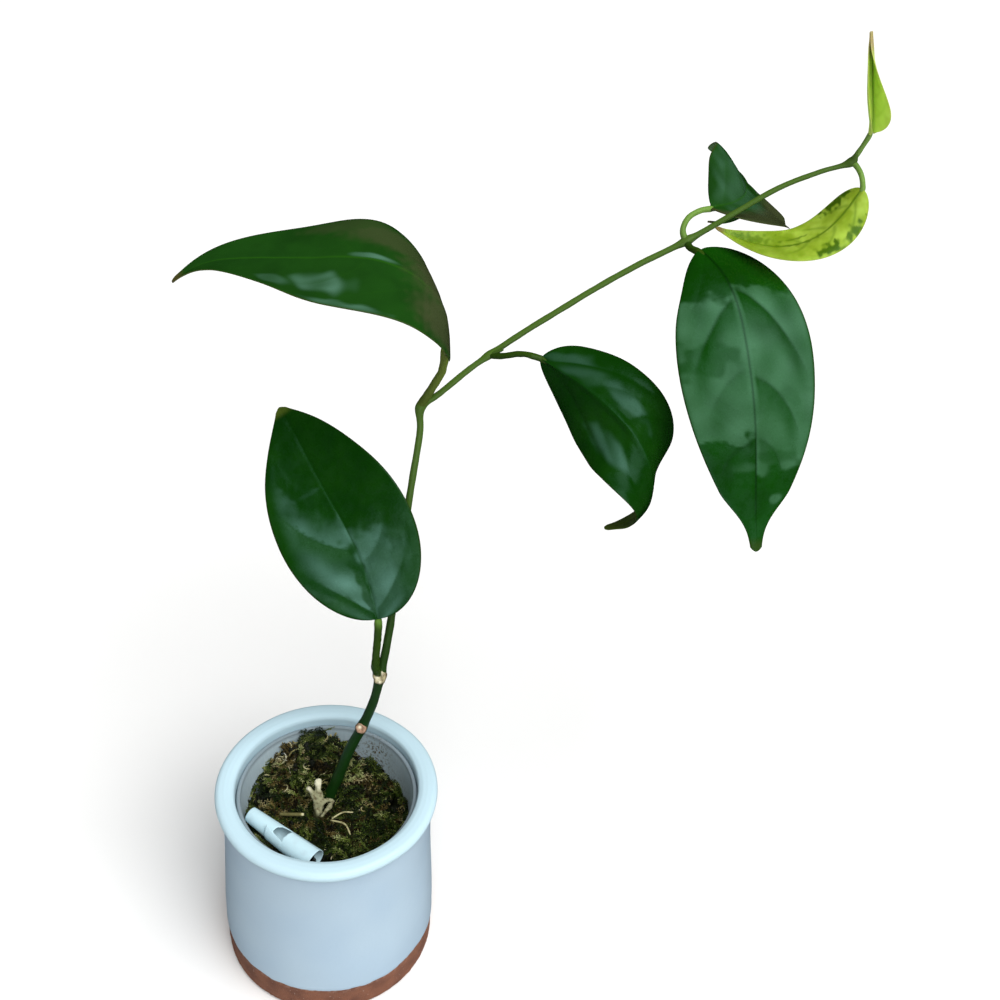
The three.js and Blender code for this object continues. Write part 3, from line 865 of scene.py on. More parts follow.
@dataclass
class CeramicPot:
    """The outer pot: terracotta, glazed inside and out above a bare foot, with a rolled lip.

    Attributes:
        height: Height of the lip's top.
        lip_radius: Greatest radius of the lip.
        lip_round: Radius of the lip's rounded edges.
        foot_edge: Rounding under the foot.
        glaze_line: Mean height of the glaze's lower edge.
        floor: Height of the floor inside.
        wander: Height and width of the waves in the glaze's edge.
        radii: Radii of the body at equal steps from the glaze line to the lip.
        inner_round: Rounding of the corner inside.
        drop: Height of the bead along the glaze's edge, and how far above the edge it is.
        uneven: Height and width of the unevenness of the walls.
        grit: Height and width of the bare clay's grit.
        painted_light: Heights between which the glaze turns pale, as painted light on the lip.
    """

    height: float = 99.6
    lip_radius: float = 47.7
    lip_round: float = 2.8
    mouth_radius: float = 39.4
    foot_radius: float = 47.2
    foot_edge: float = 2.5
    glaze_line: float = 15.5
    glaze: float = 0.35
    floor: float = 6.0
    wander: Pairs = ((0.28, 22.0), (0.12, 6.0))
    radii: Numbers = (47.2, 47.1, 46.6, 46.0, 45.5, 45.1, 45.0, 45.2)
    inner_round: float = 3.0
    drop: Pair = (0.12, 0.9)
    uneven: Pairs = ((0.09, 32.0),)
    grit: Pairs = ((0.05, 2.2),)
    painted_light: Pair = (92.6, 94.6)
    spokes: int = 240

    def outside(self) -> Array:
        """Profile of the body from the glaze line to the lip's underside.

        Returns:
            Rows of radius and height.
        """
        share = shares(60)
        underside = self.height - 2 * self.lip_round
        return np.stack([through(self.radii, share), mix(self.glaze_line, underside, share)], -1)

    def profile(self) -> tuple[Array, int]:
        """The whole profile from the middle of the foot round to the middle of the floor.

        Returns:
            Rows of radius and height, and the number of the ring at the glaze line.
        """
        ring = self.lip_round
        middle = self.height - ring
        foot_middle = self.foot_radius - self.foot_edge
        under = row(4.0, foot_middle, 0.0, 8)[:-1]
        edge = arc(foot_middle, self.foot_edge, self.foot_edge, -90, 0, 9)
        heights = np.linspace(self.foot_edge, self.glaze_line, 22)[1:]
        band = np.stack([np.full(21, self.foot_radius), heights], -1)
        crest = mix(self.lip_radius - ring, self.mouth_radius + ring, shares(7))[1:-1]
        lip = np.concatenate(
            [
                arc(self.lip_radius - ring, middle, ring, -86, 84, 22),
                np.stack([crest, self.height + 0.1 * np.sin(np.pi * shares(5))], -1),
                arc(self.mouth_radius + ring, middle, ring, 96, 180, 12)
            ]
        )
        level = self.floor + self.inner_round
        depth = np.linspace(middle - 1.5, level, 30)
        wall = np.stack([self.mouth_radius - 0.5 * (depth < 30.0), depth], -1)
        corner = arc(self.mouth_radius - 3.5, level, self.inner_round, -10, -90, 6)
        base = row(self.mouth_radius - 6.0, 4.0, self.floor, 8)
        line = len(under) + len(edge) + len(band) - 1
        rows = (under, edge, band, self.outside()[1:], lip, wall, corner, base)
        return np.concatenate(rows), line

    def build(self) -> None:
        """Turns the profile, with a wandering glaze edge, a glaze bead and uneven walls."""
        profile, line = self.profile()
        angle = around(self.spokes)
        wander = rough(polar(30.0, angle), self.wander, 3)
        radius, height = spread(profile, self.spokes)
        ring = np.arange(len(profile))
        outer = (ring > 8) & (profile[:, 0] > self.mouth_radius + 1.0)
        near = bell(profile[:, 1] - self.glaze_line, 4.0) * outer
        height += near[:, None] * wander
        above = height - (self.glaze_line + wander)
        glazed = (ring > line) & outer
        bead = self.glaze + self.drop[0] * np.exp(-((above - self.drop[1]) ** 2))
        skin = bead * ease(above, -0.05, 0.7) * glazed[:, None]
        place = polar(radius, angle, height)
        fades = (profile[:, 0] > self.mouth_radius - 1.0)[:, None] * ease(height, 2.0, 6.0)
        uneven = rough(place, self.uneven, 5) * fades
        grain = rough(place, self.grit, 6) * ((ring <= line) & outer)[:, None]
        shape = turned(radius + skin + uneven + grain, height)
        salt = bell(above + 0.6, 0.7) * ease(ripples(place, 2.0, 7), 0.4, 1.2)
        shape.values["chalk"] = np.append(0.35 * salt.ravel(), (0.0, 0.0))
        # Painted light: the glaze is paler on the lip's top and over the whole inside
        inside = (ring > line) & (profile[:, 0] <= self.mouth_radius + 2.0)
        painted_light_glaze = np.maximum(ease(height, *self.painted_light), inside[:, None])
        shape.values["painted_light_glaze"] = np.append(painted_light_glaze.ravel(), (0.0, 1.0))
        walls = len(profile) - 1
        clay_walls = np.repeat(np.arange(walls) < line, self.spokes)
        clay_caps = np.repeat([True, False], self.spokes)
        shape.dress = np.concatenate([clay_walls, clay_caps]).astype(int)
        pot = shape.piece("glazed_pot", GlazeFinish(), ClayFinish())
        settle(pot, ["ceramic_pot"])


@dataclass
class NurseryPot:
    """The thin cup that the moss fills, standing inside the outer pot.

    Attributes:
        foot: Height of its underside.
        top: Height of its rim.
        foot_radius: Outer radius at the foot.
        top_radius: Outer radius of the wall at the top.
        rim_depth: Depth of the rim's bead.
        soil_at: Angle in degrees and height of the soiled patch on the wall.
        drain_circle: Radius of the circle of drain holes.
        ribs: How many upright moulding ribs it has.
        rib: Their height.
    """

    foot: float = 6.3
    top: float = 94.6
    foot_radius: float = 30.0
    top_radius: float = 38.0
    rim_radius: float = 39.1
    wall: float = 0.8
    floor: float = 1.2
    rim_depth: float = 2.4
    soil_at: Pair = (60.0, 87.0)
    drains: int = 6
    drain_radius: float = 3.0
    drain_circle: float = 19.0
    ribs: int = 24
    rib: float = 0.05
    spokes: int = 192

    def outer_radius(self, z: Array | float) -> Array | float:
        """Radius of the outer wall at a height: a straight taper."""
        return mix(self.foot_radius, self.top_radius, (z - self.foot) / (self.top - self.foot))

    def profile(self) -> Array:
        """Profile from the middle of the underside, up the wall, over the rim and back down.

        Returns:
            Rows of radius and height.
        """
        rim_foot = self.top - self.rim_depth
        inside = self.foot + self.floor
        bead = (self.rim_radius - self.top_radius + self.wall) / 2
        climb = np.linspace(self.foot, rim_foot, 24)
        fall = np.linspace(rim_foot, inside, 40)
        rows = (
            row(3.0, self.foot_radius - 1, self.foot, 10),
            np.stack([self.outer_radius(climb), climb], -1),
            arc(self.rim_radius - bead, self.top - bead, bead, -50, 190, 14),
            np.stack([self.outer_radius(fall) - self.wall, fall], -1),
            row(self.foot_radius - 2, 3.0, inside, 10)
        )
        return np.concatenate(rows)

    def build(self) -> None:
        """Turns the cup, adds upright moulding ribs and soil, and cuts the drain holes."""
        profile = self.profile()
        angle = around(self.spokes)
        radius, height = spread(profile, self.spokes)
        upright = (profile[:, 0] > self.foot_radius) & (profile[:, 1] < self.top - self.rim_depth)
        ribs = self.rib * np.sin(self.ribs * angle) + 0.1 * ripples(polar(8.0, angle), 9.0, 11)
        shape = turned(radius + upright[:, None] * ribs, height)
        where = np.degrees(np.arctan2(shape.points[:, 1], shape.points[:, 0]))
        turn, level = self.soil_at
        spot = bell(np.hypot((where - turn) * 0.6, shape.points[:, 2] - level), 5.0)
        deep = 0.35 * ease(shape.points[:, 2], 90.0, 76.0)
        shape.values["soil"] = np.clip(spot + deep, 0.0, 1.0)
        # Painted shade: the rim's bead is coloured darker than the wall
        shape.values["edge"] = ease(shape.points[:, 2], self.top - 1.6, self.top - 0.8)
        cup = shape.piece("milky_cup", CupFinish())
        self.drill(cup)
        settle(cup, ["nursery_pot"])

    def drill(self, cup: Piece) -> None:
        """Cuts the drain holes with upright round bars through the floor.

        Args:
            cup: The cup to cut.
        """
        x, y = polar(self.drain_circle, around(self.drains)).T[:, :, None]
        heights = self.foot + np.array([-2.0, 1.0, 4.0])
        paths = np.stack(np.broadcast_arrays(x, y, heights), -1)
        bars = tubes(paths, np.full((self.drains, 3), self.drain_radius), 20).piece("drills")
        cut = cup.modifiers.new("drains", "BOOLEAN")
        cut.object = bars
        cut.solver = "EXACT"
        applied(cup)
        bpy.data.objects.remove(bars)


def applied(piece: Piece) -> None:
    """Replaces a piece's mesh by what its modifiers make of it, and removes them.

    Args:
        piece: The piece to change.
    """
    bpy.context.view_layer.update()
    ready = piece.evaluated_get(bpy.context.evaluated_depsgraph_get())
    mesh = bpy.data.meshes.new_from_object(ready)
    piece.modifiers.clear()
    piece.data = mesh
    mesh.name = piece.name


# The moss


@dataclass(frozen=True)
class Mound:
    """A rise or a hollow in the moss, shaped as a bell."""

    x: float
    y: float
    height: float
    spread: float


@dataclass(frozen=True)
class Strands:
    """A family of moss strands.

    Attributes:
        radius: Radius at the thick end.
        lift: Steepest start above level, in degrees.
        curl: Greatest turn from end to end, in degrees.
        leaflets: Leaflets on each strand.
        centre: Where most of the clumps are.
        spread: How far they spread from there.
    """

    name: str
    tone: Tone
    count: int
    clumps: int
    length: Pair
    radius: float
    lift: float
    curl: float
    leaflets: int
    seed: int
    centre: Pair = (0.0, 0.0)
    spread: float = 60.0


@dataclass(frozen=True)
class Wisp:
    """A single strand: its points, radius and tone, and 1 if its end is cut and pale."""

    points: Points
    radius: float
    tone: float
    cut: float = 0.0


@dataclass
class Moss:
    """Moss that fills the cup: a lumpy bed, and strands that cover it.

    Attributes:
        level: Mean height of its top.
        foot: Height of its underside.
        wisps: The single strands that stand out.
        lumps: Widths of the bed's lumps, each a fifth as high.
        sink: How deep in the bed the strands start.
        clear: A bar that strands keep out of: its start, its end and its radius.
    """

    level: float = 82.0
    mounds: tuple[Mound, ...] = (
        Mound(-13.0, 27.0, 11.0, 12.0), Mound(-3.0, 32.0, 5.0, 4.0), Mound(22.0, 26.0, -7.0, 11.0),
        Mound(34.0, 4.0, -3.5, 12.0), Mound(-26.5, -15.5, 3.0, 4.5), Mound(-4.0, -28.5, 2.5, 4.5),
        Mound(-36.0, 4.0, -4.5, 8.0)
    )
    radius: float = 36.0
    foot: float = 7.8
    families: tuple[Strands, ...] = (
        Strands("moss_green_shoots", Tone.GREEN, 1300, 150, (5.0, 11.0), 0.34, 50.0, 140.0, 18, 21),
        Strands("moss_brown_shoots", Tone.BROWN, 700, 80, (5.0, 10.0), 0.36, 40.0, 160.0, 14, 22),
        Strands("moss_straw_curls", Tone.STRAW, 380, 130, (2.5, 6.5), 0.28, 45.0, 260.0, 0, 23),
        Strands(
            "moss_pale_curls", Tone.STRAW, 110, 30, (4.0, 8.0), 0.32, 60.0, 260.0, 0, 24,
            (-14.0, 20.0), 9.0
        )
    )
    wisps: tuple[Wisp, ...] = (
        Wisp(((-19.5, -8.2, 87.2), (-14.5, -8.9, 88.4), (-8.9, -9.1, 89.3)), 0.78, 0.08, 1.0),
        Wisp(((3.3, -9.6, 88.6), (7.6, -6.4, 89.2), (11.9, -5.4, 88.6)), 0.36, 0.5),
        Wisp(((3.0, -10.4, 88.4), (9.3, -12.3, 88.8), (12.2, -16.6, 87.6)), 0.38, 0.45),
        Wisp(((-2.4, 33.4, 86), (-2.2, 34.2, 90), (-1.0, 35.0, 93.6)), 0.5, 0.35),
        Wisp(((-1.4, 33.0, 86), (-2.6, 34.0, 89.5), (-3.6, 34.6, 92.6)), 0.45, 0.5),
        Wisp(((-3.0, 32.5, 86), (-1.4, 33.2, 88.6), (0.6, 33.6, 91.4)), 0.45, 0.25)
    )
    lumps: Numbers = (1.2, 2.5, 5.0, 8.0)
    sink: float = 1.6
    clear: tuple[Point, Point, float] = ((-31.8, -10.6, 88.6), (-1.0, -30.6, 86.0), 5.4)

    def height(self, x: Array, y: Array) -> Array:
        """Height of the moss: its level, its mounds and two waves that make small lumps.

        Args:
            x: Places along X.
            y: Places along Y.

        Returns:
            The height at each place.
        """
        lumps = 1.1 * np.sin(0.42 * x + 1.3) * np.cos(0.47 * y - 0.4)
        lumps = lumps + 0.7 * np.sin(0.9 * x - 0.5 * y + 0.8)
        rise = sum(m.height * bell(np.hypot(x - m.x, y - m.y), m.spread) for m in self.mounds)
        return self.level + rise + lumps

    def brownness(self, x: Array, y: Array) -> Array:
        """How far the moss has turned brown at a place: most at the left, in drifts."""
        drift = 0.35 * ripples(np.stack([x, y], -1), 18.0, 31)
        return np.clip(0.35 + 0.5 * bell(np.hypot(x + 17.0, y - 6.0), 13.0) + drift, 0.0, 1.0)

    def bed(self) -> None:
        """The solid under the strands: rings of points raised by four sizes of noise."""
        rings, spokes = 110, 220
        angle = around(spokes)
        share = np.linspace(0.02, 1.0, rings)[:, None]
        place = polar(self.radius * share, angle)
        x, y = np.moveaxis(place, -1, 0)
        lumps = sum(0.2 * size * ripples(place, size, 40 + int(size)) for size in self.lumps)
        z = self.height(x, y) - 3.0 + lumps - 2.5 * ease(share, 0.93, 1.0)
        sides = shares(8)[1:, None]
        lower_z = mix(z[-1], self.foot, sides)
        lower_r = np.repeat(mix(self.radius, 29.0, sides), spokes, axis=1)
        radius = np.concatenate([np.repeat(self.radius * share, spokes, axis=1), lower_r])
        shape = turned(radius, np.concatenate([z, lower_z]))
        tone = self.brownness(shape.points[:, 0], shape.points[:, 1])
        shape.values["tone"] = np.clip(0.1 + 0.5 * tone, 0.0, 1.0)
        bed = shape.piece("moss_bed", MossFinish("moss_bed", BED_AND_GAP_SHADE_TONES))
        settle(bed, ["moss"])

    def paths(self, family: Strands, stations: int) -> Array:
        """Paths of a family's strands, which fan out from clumps.

        Each turns steadily as it leaves the bed, then lies on it. Those that would pass through
        the label are left out.

        Args:
            family: The family.
            stations: Places along each strand.

        Returns:
            Strands by stations by 3.
        """
        rng = np.random.default_rng(family.seed)
        count = family.count
        clump = rng.normal(0.0, family.spread, (40 * family.clumps, 2)) + family.centre
        clump = clump[np.hypot(*clump.T) < self.radius][: family.clumps]
        owner = rng.integers(0, len(clump), count)
        root = clump[owner] + rng.normal(0.0, 1.3, (count, 2))
        share = shares(stations)
        facing = rng.uniform(0.0, 2.0 * np.pi, len(clump))
        heading = (facing[owner] + rng.normal(0.0, 0.8, count))[:, None]
        curl = np.radians(family.curl) * rng.uniform(-1.0, 1.0, (count, 1))
        lift = np.radians(family.lift) * rng.uniform(-0.1, 1.0, (count, 1))
        droop = rng.uniform(0.4, 2.2, (count, 1))
        step = rng.uniform(*family.length, (count, 1)) / (stations - 1)
        bearing = heading + curl * share
        slope = lift * (1.0 - droop * share)
        moves = np.stack(
            [np.cos(slope) * np.cos(bearing), np.cos(slope) * np.sin(bearing), np.sin(slope)], -1
        )
        walk = np.cumsum(moves * step[..., None], axis=1)
        x = root[:, :1] + walk[..., 0] - walk[:, :1, 0]
        y = root[:, 1:] + walk[..., 1] - walk[:, :1, 1]
        reach = np.hypot(x, y)
        pull = np.minimum(1.0, (self.radius + 0.3) / np.maximum(reach, 1e-6))
        x, y = x * pull, y * pull
        ground = self.height(x, y) - self.sink
        z = self.height(root[:, :1], root[:, 1:]) - self.sink + walk[..., 2]
        z = np.maximum(z, ground + 0.25 * share)
        paths = np.stack([x, y, z], -1)
        start, end = np.array(self.clear[0]), np.array(self.clear[1])
        along = unit(end - start)
        offset = paths - start
        beside = offset - (offset @ along)[..., None] * along
        free = np.linalg.norm(beside, axis=-1).min(axis=1) > self.clear[2]
        return paths[free]

    def leaflets(self, paths: Array, tone: Array, family: Strands) -> Shape:
        """Pointed leaflets in two even rows, as on feather moss, of four triangles each.

        They lean 50 degrees off their strand, left and right in turn, and are longest halfway.

        Args:
            paths: The strands' paths.
            tone: Tone of each strand.
            family: The family.

        Returns:
            The leaflets, with their strand's tone, darker towards its foot as painted shade.
        """
        rng = np.random.default_rng(family.seed + 100)
        bars, stations = paths.shape[:2]
        share = np.linspace(0.1, 0.99, family.leaflets)
        where = share * (stations - 1)
        i = np.minimum(where.astype(int), stations - 2)
        foot = mix(paths[:, i], paths[:, i + 1], (where - i)[:, None])
        along = unit(paths[:, i + 1] - paths[:, i])
        upward = unit(np.array([0.0, 0.0, 1.0]) + rng.normal(0.0, 0.45, (bars, 1, 3)))
        level = unit(np.cross(upward, along))
        thick = np.cross(along, level)
        sign = np.where(np.arange(family.leaflets) % 2, 1.0, -1.0)[:, None]
        splay = np.radians(rng.normal(50.0, 9.0, (bars, family.leaflets, 1)))
        out = along * np.cos(splay) + level * sign * np.sin(splay)
        out = out + thick * rng.normal(0.0, 0.2, splay.shape)
        size = rng.uniform(1.5, 2.5, splay.shape) * (0.4 + 0.6 * np.sin(np.pi * share))[:, None]
        width = unit(np.cross(out, thick))
        tip = foot + out * size
        left = foot + (0.26 * width + 0.35 * out) * size
        right = foot + (0.35 * out - 0.26 * width) * size
        crown = foot + (0.15 * thick + 0.3 * out) * size
        points = np.stack([left, right, tip, crown], 2).reshape(-1, 3)
        corner = 4 * np.arange(bars * family.leaflets)[:, None]
        order = np.array([[0, 2, 1], [0, 1, 3], [1, 2, 3], [2, 0, 3]])
        faces = (corner[:, None] + order).reshape(-1, 3)
        # Painted shade towards each strand's foot; each leaflet's tip is lit as a painted highlight
        shade = tone[:, None] * mix(0.3, 1.0, share) + rng.normal(0.0, 0.07, foot.shape[:2])
        lit = shade[..., None] + LEAFLET_PAINTED_LIGHT
        return Shape(points, [faces], {"tone": np.clip(lit, 0.0, 1.0)}).outward()

    def grow(self, family: Strands) -> None:
        """Builds a family of strands with their leaflets.

        Args:
            family: The family.
        """
        stations = len(STRAND_TAPER)
        paths = self.paths(family, stations)
        rng = np.random.default_rng(family.seed + 50)
        brown = self.brownness(paths[:, 0, 0], paths[:, 0, 1])
        # Painted shade: the moss is darker at the lower right, where the pot's right wall shades it
        darkened = 0.2 * bell(np.hypot(paths[:, 0, 0] - 18.0, paths[:, 0, 1] + 8.0), 13.0)
        tone = np.clip(0.45 * brown - darkened + rng.uniform(-0.4, 0.8, len(paths)), 0.0, 1.0)
        share = shares(stations)
        thickness = family.radius * rng.uniform(0.6, 1.2, (len(paths), 1))
        bars = tubes(paths, thickness * STRAND_TAPER, 4)
        # Painted shade: each strand darkens towards its foot in the bed
        bars.values["tone"] = np.repeat((tone[:, None] * mix(0.3, 1.0, share)).ravel(), 4)
        parts = [bars]
        if family.leaflets:
            parts.append(self.leaflets(paths, tone, family))
        shape = joined(parts)
        finish = MossFinish(family.name, MOSS_TONES[family.tone])
        settle(shape.piece(family.name, finish), ["moss"])

    def loose(self) -> None:
        """The wisps that stand out: single bent bars, each with its own tone."""
        bars = []
        for wisp in self.wisps:
            path = smooth_route(wisp.points, 16)
            share = shares(16)
            width = wisp.radius * rounded(share, 0.08, 0.5)
            straw = bar(path, width, 8)
            worn = 0.5 * ease(share, 0.86, 0.92) * wisp.cut
            straw.values["tone"] = np.repeat(np.clip(wisp.tone + worn, 0.0, 1.0), 8)
            bars.append(straw)
        finish = MossFinish("loose_straw", MOSS_TONES[Tone.STRAW])
        settle(joined(bars).piece("moss_wisps", finish), ["moss"])

    def build(self) -> None:
        """Builds the bed, each family of strands and the wisps."""
        self.bed()
        for family in self.families:
            self.grow(family)
        self.loose()


# Radius shares along a strand, and what a leaflet's left, right, tip and crown add to its tone:
# painted shade on its sides and a painted highlight at its tip
STRAND_TAPER = np.array([0.8, 1.0, 1.0, 0.95, 0.85, 0.6, 0.2])
LEAFLET_PAINTED_LIGHT = np.array([-0.12, -0.12, 0.42, 0.02])
# The bed is near black: the dark old moss under the strands, and painted shade in the gaps between
# them
BED_AND_GAP_SHADE_TONES = ("#060803", "#0e1205", "#161004")
MOSS_TONES = {
    Tone.GREEN: ("#070e02", "#26380a", "#62702a", "#c6ca8c"),
    Tone.BROWN: ("#0e0a02", "#352b0d", "#6f6130", "#cabf90"),
    Tone.STRAW: ("#54502a", "#958e5c", "#cfcaa2", "#f2efde")
}


# The dry root and the label


@dataclass(frozen=True)
class Prong:
    """A limb of the root: the points that it passes and its radii at equal steps."""

    points: Points
    radii: Numbers


@dataclass
class DryRoot:
    """A dead forked root stub that stands in the moss beside the stem.

    Attributes:
        grain: Size of the cubes that fuse the limbs.
        knobs: Height and width of its knobs.
    """

    prongs: tuple[Prong, ...] = (
        Prong(((-4.2, -6.5, 78), (-3.9, -5, 84.5), (-3.5, -1.6, 88.2), (-4.1, 1, 90.6)),
              (1.5, 1.6, 2.2, 1.9)),
        Prong(((-4.0, 0, 89.8), (-4.5, 3.6, 93), (-5.0, 6.2, 95.6)), (1.8, 1.35, 1.4)),
        Prong(((-4.4, -0.8, 89), (-6.9, 1.2, 91.2), (-8.9, 2.6, 93.3)), (1.6, 1.15, 1.1)),
        Prong(((-3.5, -1.4, 88), (-0.9, -0.6, 89), (2.6, 0.2, 88.9)), (1.7, 1.0, 0.7)),
        Prong(((2.8, 0.0, 88.9), (0.9, -4.2, 88.5), (-1.5, -9.0, 88.4)), (0.7, 0.9, 0.65)),
    )
    grain: float = 0.3
    knobs: Pairs = ((0.16, 3.6), (0.07, 1.4))

    def build(self) -> None:
        """Fuses the limbs, then knobs them with noise along their normals."""
        bars = []
        for prong in self.prongs:
            path = smooth_route(prong.points, 24)
            share = shares(24)
            blunt = rounded(share, 0.05, 0.35)
            bars.append(bar(path, through(prong.radii, share) * blunt, 14))
        stub = joined(bars).piece("root_stub")
        fuse = stub.modifiers.new("fuse", "REMESH")
        fuse.mode = "VOXEL"
        fuse.voxel_size = self.grain * MM
        soften = stub.modifiers.new("soften", "SMOOTH")
        soften.iterations = 5
        applied(stub)
        mesh = stub.data
        places = np.empty(len(mesh.vertices) * 3, np.float32)
        normals = np.empty_like(places)
        mesh.vertices.foreach_get("co", places)
        mesh.vertices.foreach_get("normal", normals)
        places = places.reshape(-1, 3) / MM
        knobs = rough(places, self.knobs, 51)
        moved = places + normals.reshape(-1, 3) * knobs[:, None]
        mesh.vertices.foreach_set("co", (moved * MM).astype(np.float32).ravel())
        uneven = ripples(places, 5.0, 53)
        worn = ease(places[:, 2] + 0.5 * uneven, 92.2, 94.6)
        darkened = ease(places[:, 2] + 1.2 * uneven, 88.6, 85.0)
        stamp(mesh, {"worn": worn, "darkened": darkened})
        mesh.polygons.foreach_set("use_smooth", np.ones(len(mesh.polygons), bool))
        mesh.update()
        finish = BarkFinish("bleached_root", "#8f8f6f", "#5f563c", "#d3d0b4", "#3a3a20")
        mesh.materials.append(finish.material())
        settle(stub, ["dry_root"])


@dataclass
class PlantLabel:
    """A blank plastic label, rolled into a tube, torn across and lifted at the tear.

    Attributes:
        start: Middle of the tube's upper left end.
        end: Middle of its lower right end.
        span: First and last angle of the roll, in degrees from level towards up.
        fold: Lower angle of the lifted corner.
        torn: Where the left part ends, as a share of the length at each angle.
        lap: Where the right part starts, in the same way.
        gape: First and last angle of the open tear.
        flap: The lifted corner: its two shares of the length, and its top angle at each.
        lift: How far the upper layer lies off the lower one, and how much more the flap rises.
    """

    start: Point = (-31.8, -10.6, 88.6)
    end: Point = (-1.0, -30.6, 86.0)
    radii: Pair = (3.3, 5.2)
    thickness: float = 0.4
    span: Pair = (-85.0, 214.0)
    fold: float = 205.0
    torn: Pairs = (
        (45, 0.52), (60, 0.455), (77, 0.43), (101, 0.405), (119, 0.41), (125, 0.42), (137, 0.55)
    )
    lap: Pairs = ((45, 0.595), (88, 0.58), (116, 0.57), (214, 0.572))
    gape: Pair = (44.0, 137.0)
    flap: tuple[Pair, Pair] = ((0.315, 113.0), (0.56, 137.0))
    lift: Pair = (0.45, 1.5)

    def place(self, along: Array, turn: Array, out: Array | float) -> Array:
        """Places on the roll.

        Args:
            along: Share of the length.
            turn: Angle in degrees, from level on the moss side, over the top.
            out: Distance outside the sheet's middle.

        Returns:
            Points of the same shape with a last axis of 3.
        """
        start, end = np.array(self.start), np.array(self.end)
        axis = unit(end - start)
        inward = unit(np.cross([0.0, 0.0, 1.0], axis))
        upward = np.cross(axis, inward)
        radius = (mix(self.radii[0], self.radii[1], along) + out)[..., None]
        angle = np.radians(turn)[..., None]
        middle = start + along[..., None] * (end - start)
        return middle + radius * (inward * np.cos(angle) + upward * np.sin(angle))

    def roll(self) -> Shape:
        """The rolled sheet: columns of points left and right of the tear, open at its gape.

        Returns:
            The closed sheet.
        """
        turn = np.linspace(*self.span, 151)
        first, last = self.gape
        jag = 0.004 * np.sin(turn / 5.0) + 0.002 * np.sin(turn / 1.7)
        right = np.interp(turn, *zip(*self.lap)) + 0.5 * jag
        inside = (turn > first) & (turn < last)
        left = np.where(inside, np.interp(turn, *zip(*self.torn)) + jag, right - 0.012)
        share = shares(36)[:, None]
        along = np.concatenate([share * left, right + share * (1.0 - right)])
        angle = np.repeat(turn[None], len(along), axis=0)
        lifted = np.zeros_like(along)
        lifted[len(share) :] = self.lift[0] * ease(angle[len(share) :], 40.0, 70.0)
        keep = np.ones((len(along) - 1, len(turn) - 1), bool)
        keep[len(share) - 1] = ~inside[:-1]
        half = self.thickness / 2
        upper = self.place(along, angle, lifted + half)
        return sheet(upper, self.place(along, angle, lifted - half), keep)

    def corner(self) -> Shape:
        """The lifted corner over the left part: it rises with the squares of both shares.

        Returns:
            The closed sheet.
        """
        (near, near_top), (far, far_top) = self.flap
        u = shares(22)[:, None]
        v = shares(26)[None]
        along = mix(near, far + 0.02, u) + 0.03 * v * (1.0 - u)
        top = mix(near_top, far_top, u)
        angle = mix(top, self.fold, v)
        along, angle = np.broadcast_arrays(along, angle)
        out = self.lift[0] + self.lift[1] * (1.0 - u) ** 2 * (1.0 - v) ** 2
        half = self.thickness / 2
        return sheet(self.place(along, angle, out + half), self.place(along, angle, out - half))

    def build(self) -> None:
        """Builds the roll and its lifted corner as one piece."""
        label = joined([self.roll(), self.corner()]).piece("blank_label", LabelFinish())
        settle(label, ["plant_label"])


# The stem


@dataclass(frozen=True)
class Node:
    """A swelling of the stem where leaves grow: its place, its rise and its spread."""

    at: Point
    swell: float
    spread: float


@dataclass(frozen=True)
class Scar:
    """A healed leaf scar on the side of the stem.

    Attributes:
        at: Where it is on the stem's middle line.
        proud: How far it stands out from the middle line.
        tall: Its height as a share of its width.
        pith: Where its pale pith shows, as shares of the radius to the right and up.
    """

    at: Point
    radius: float
    proud: float
    tall: float
    lumps: float
    pith: Pairs
    bark: str = "#a39a76"


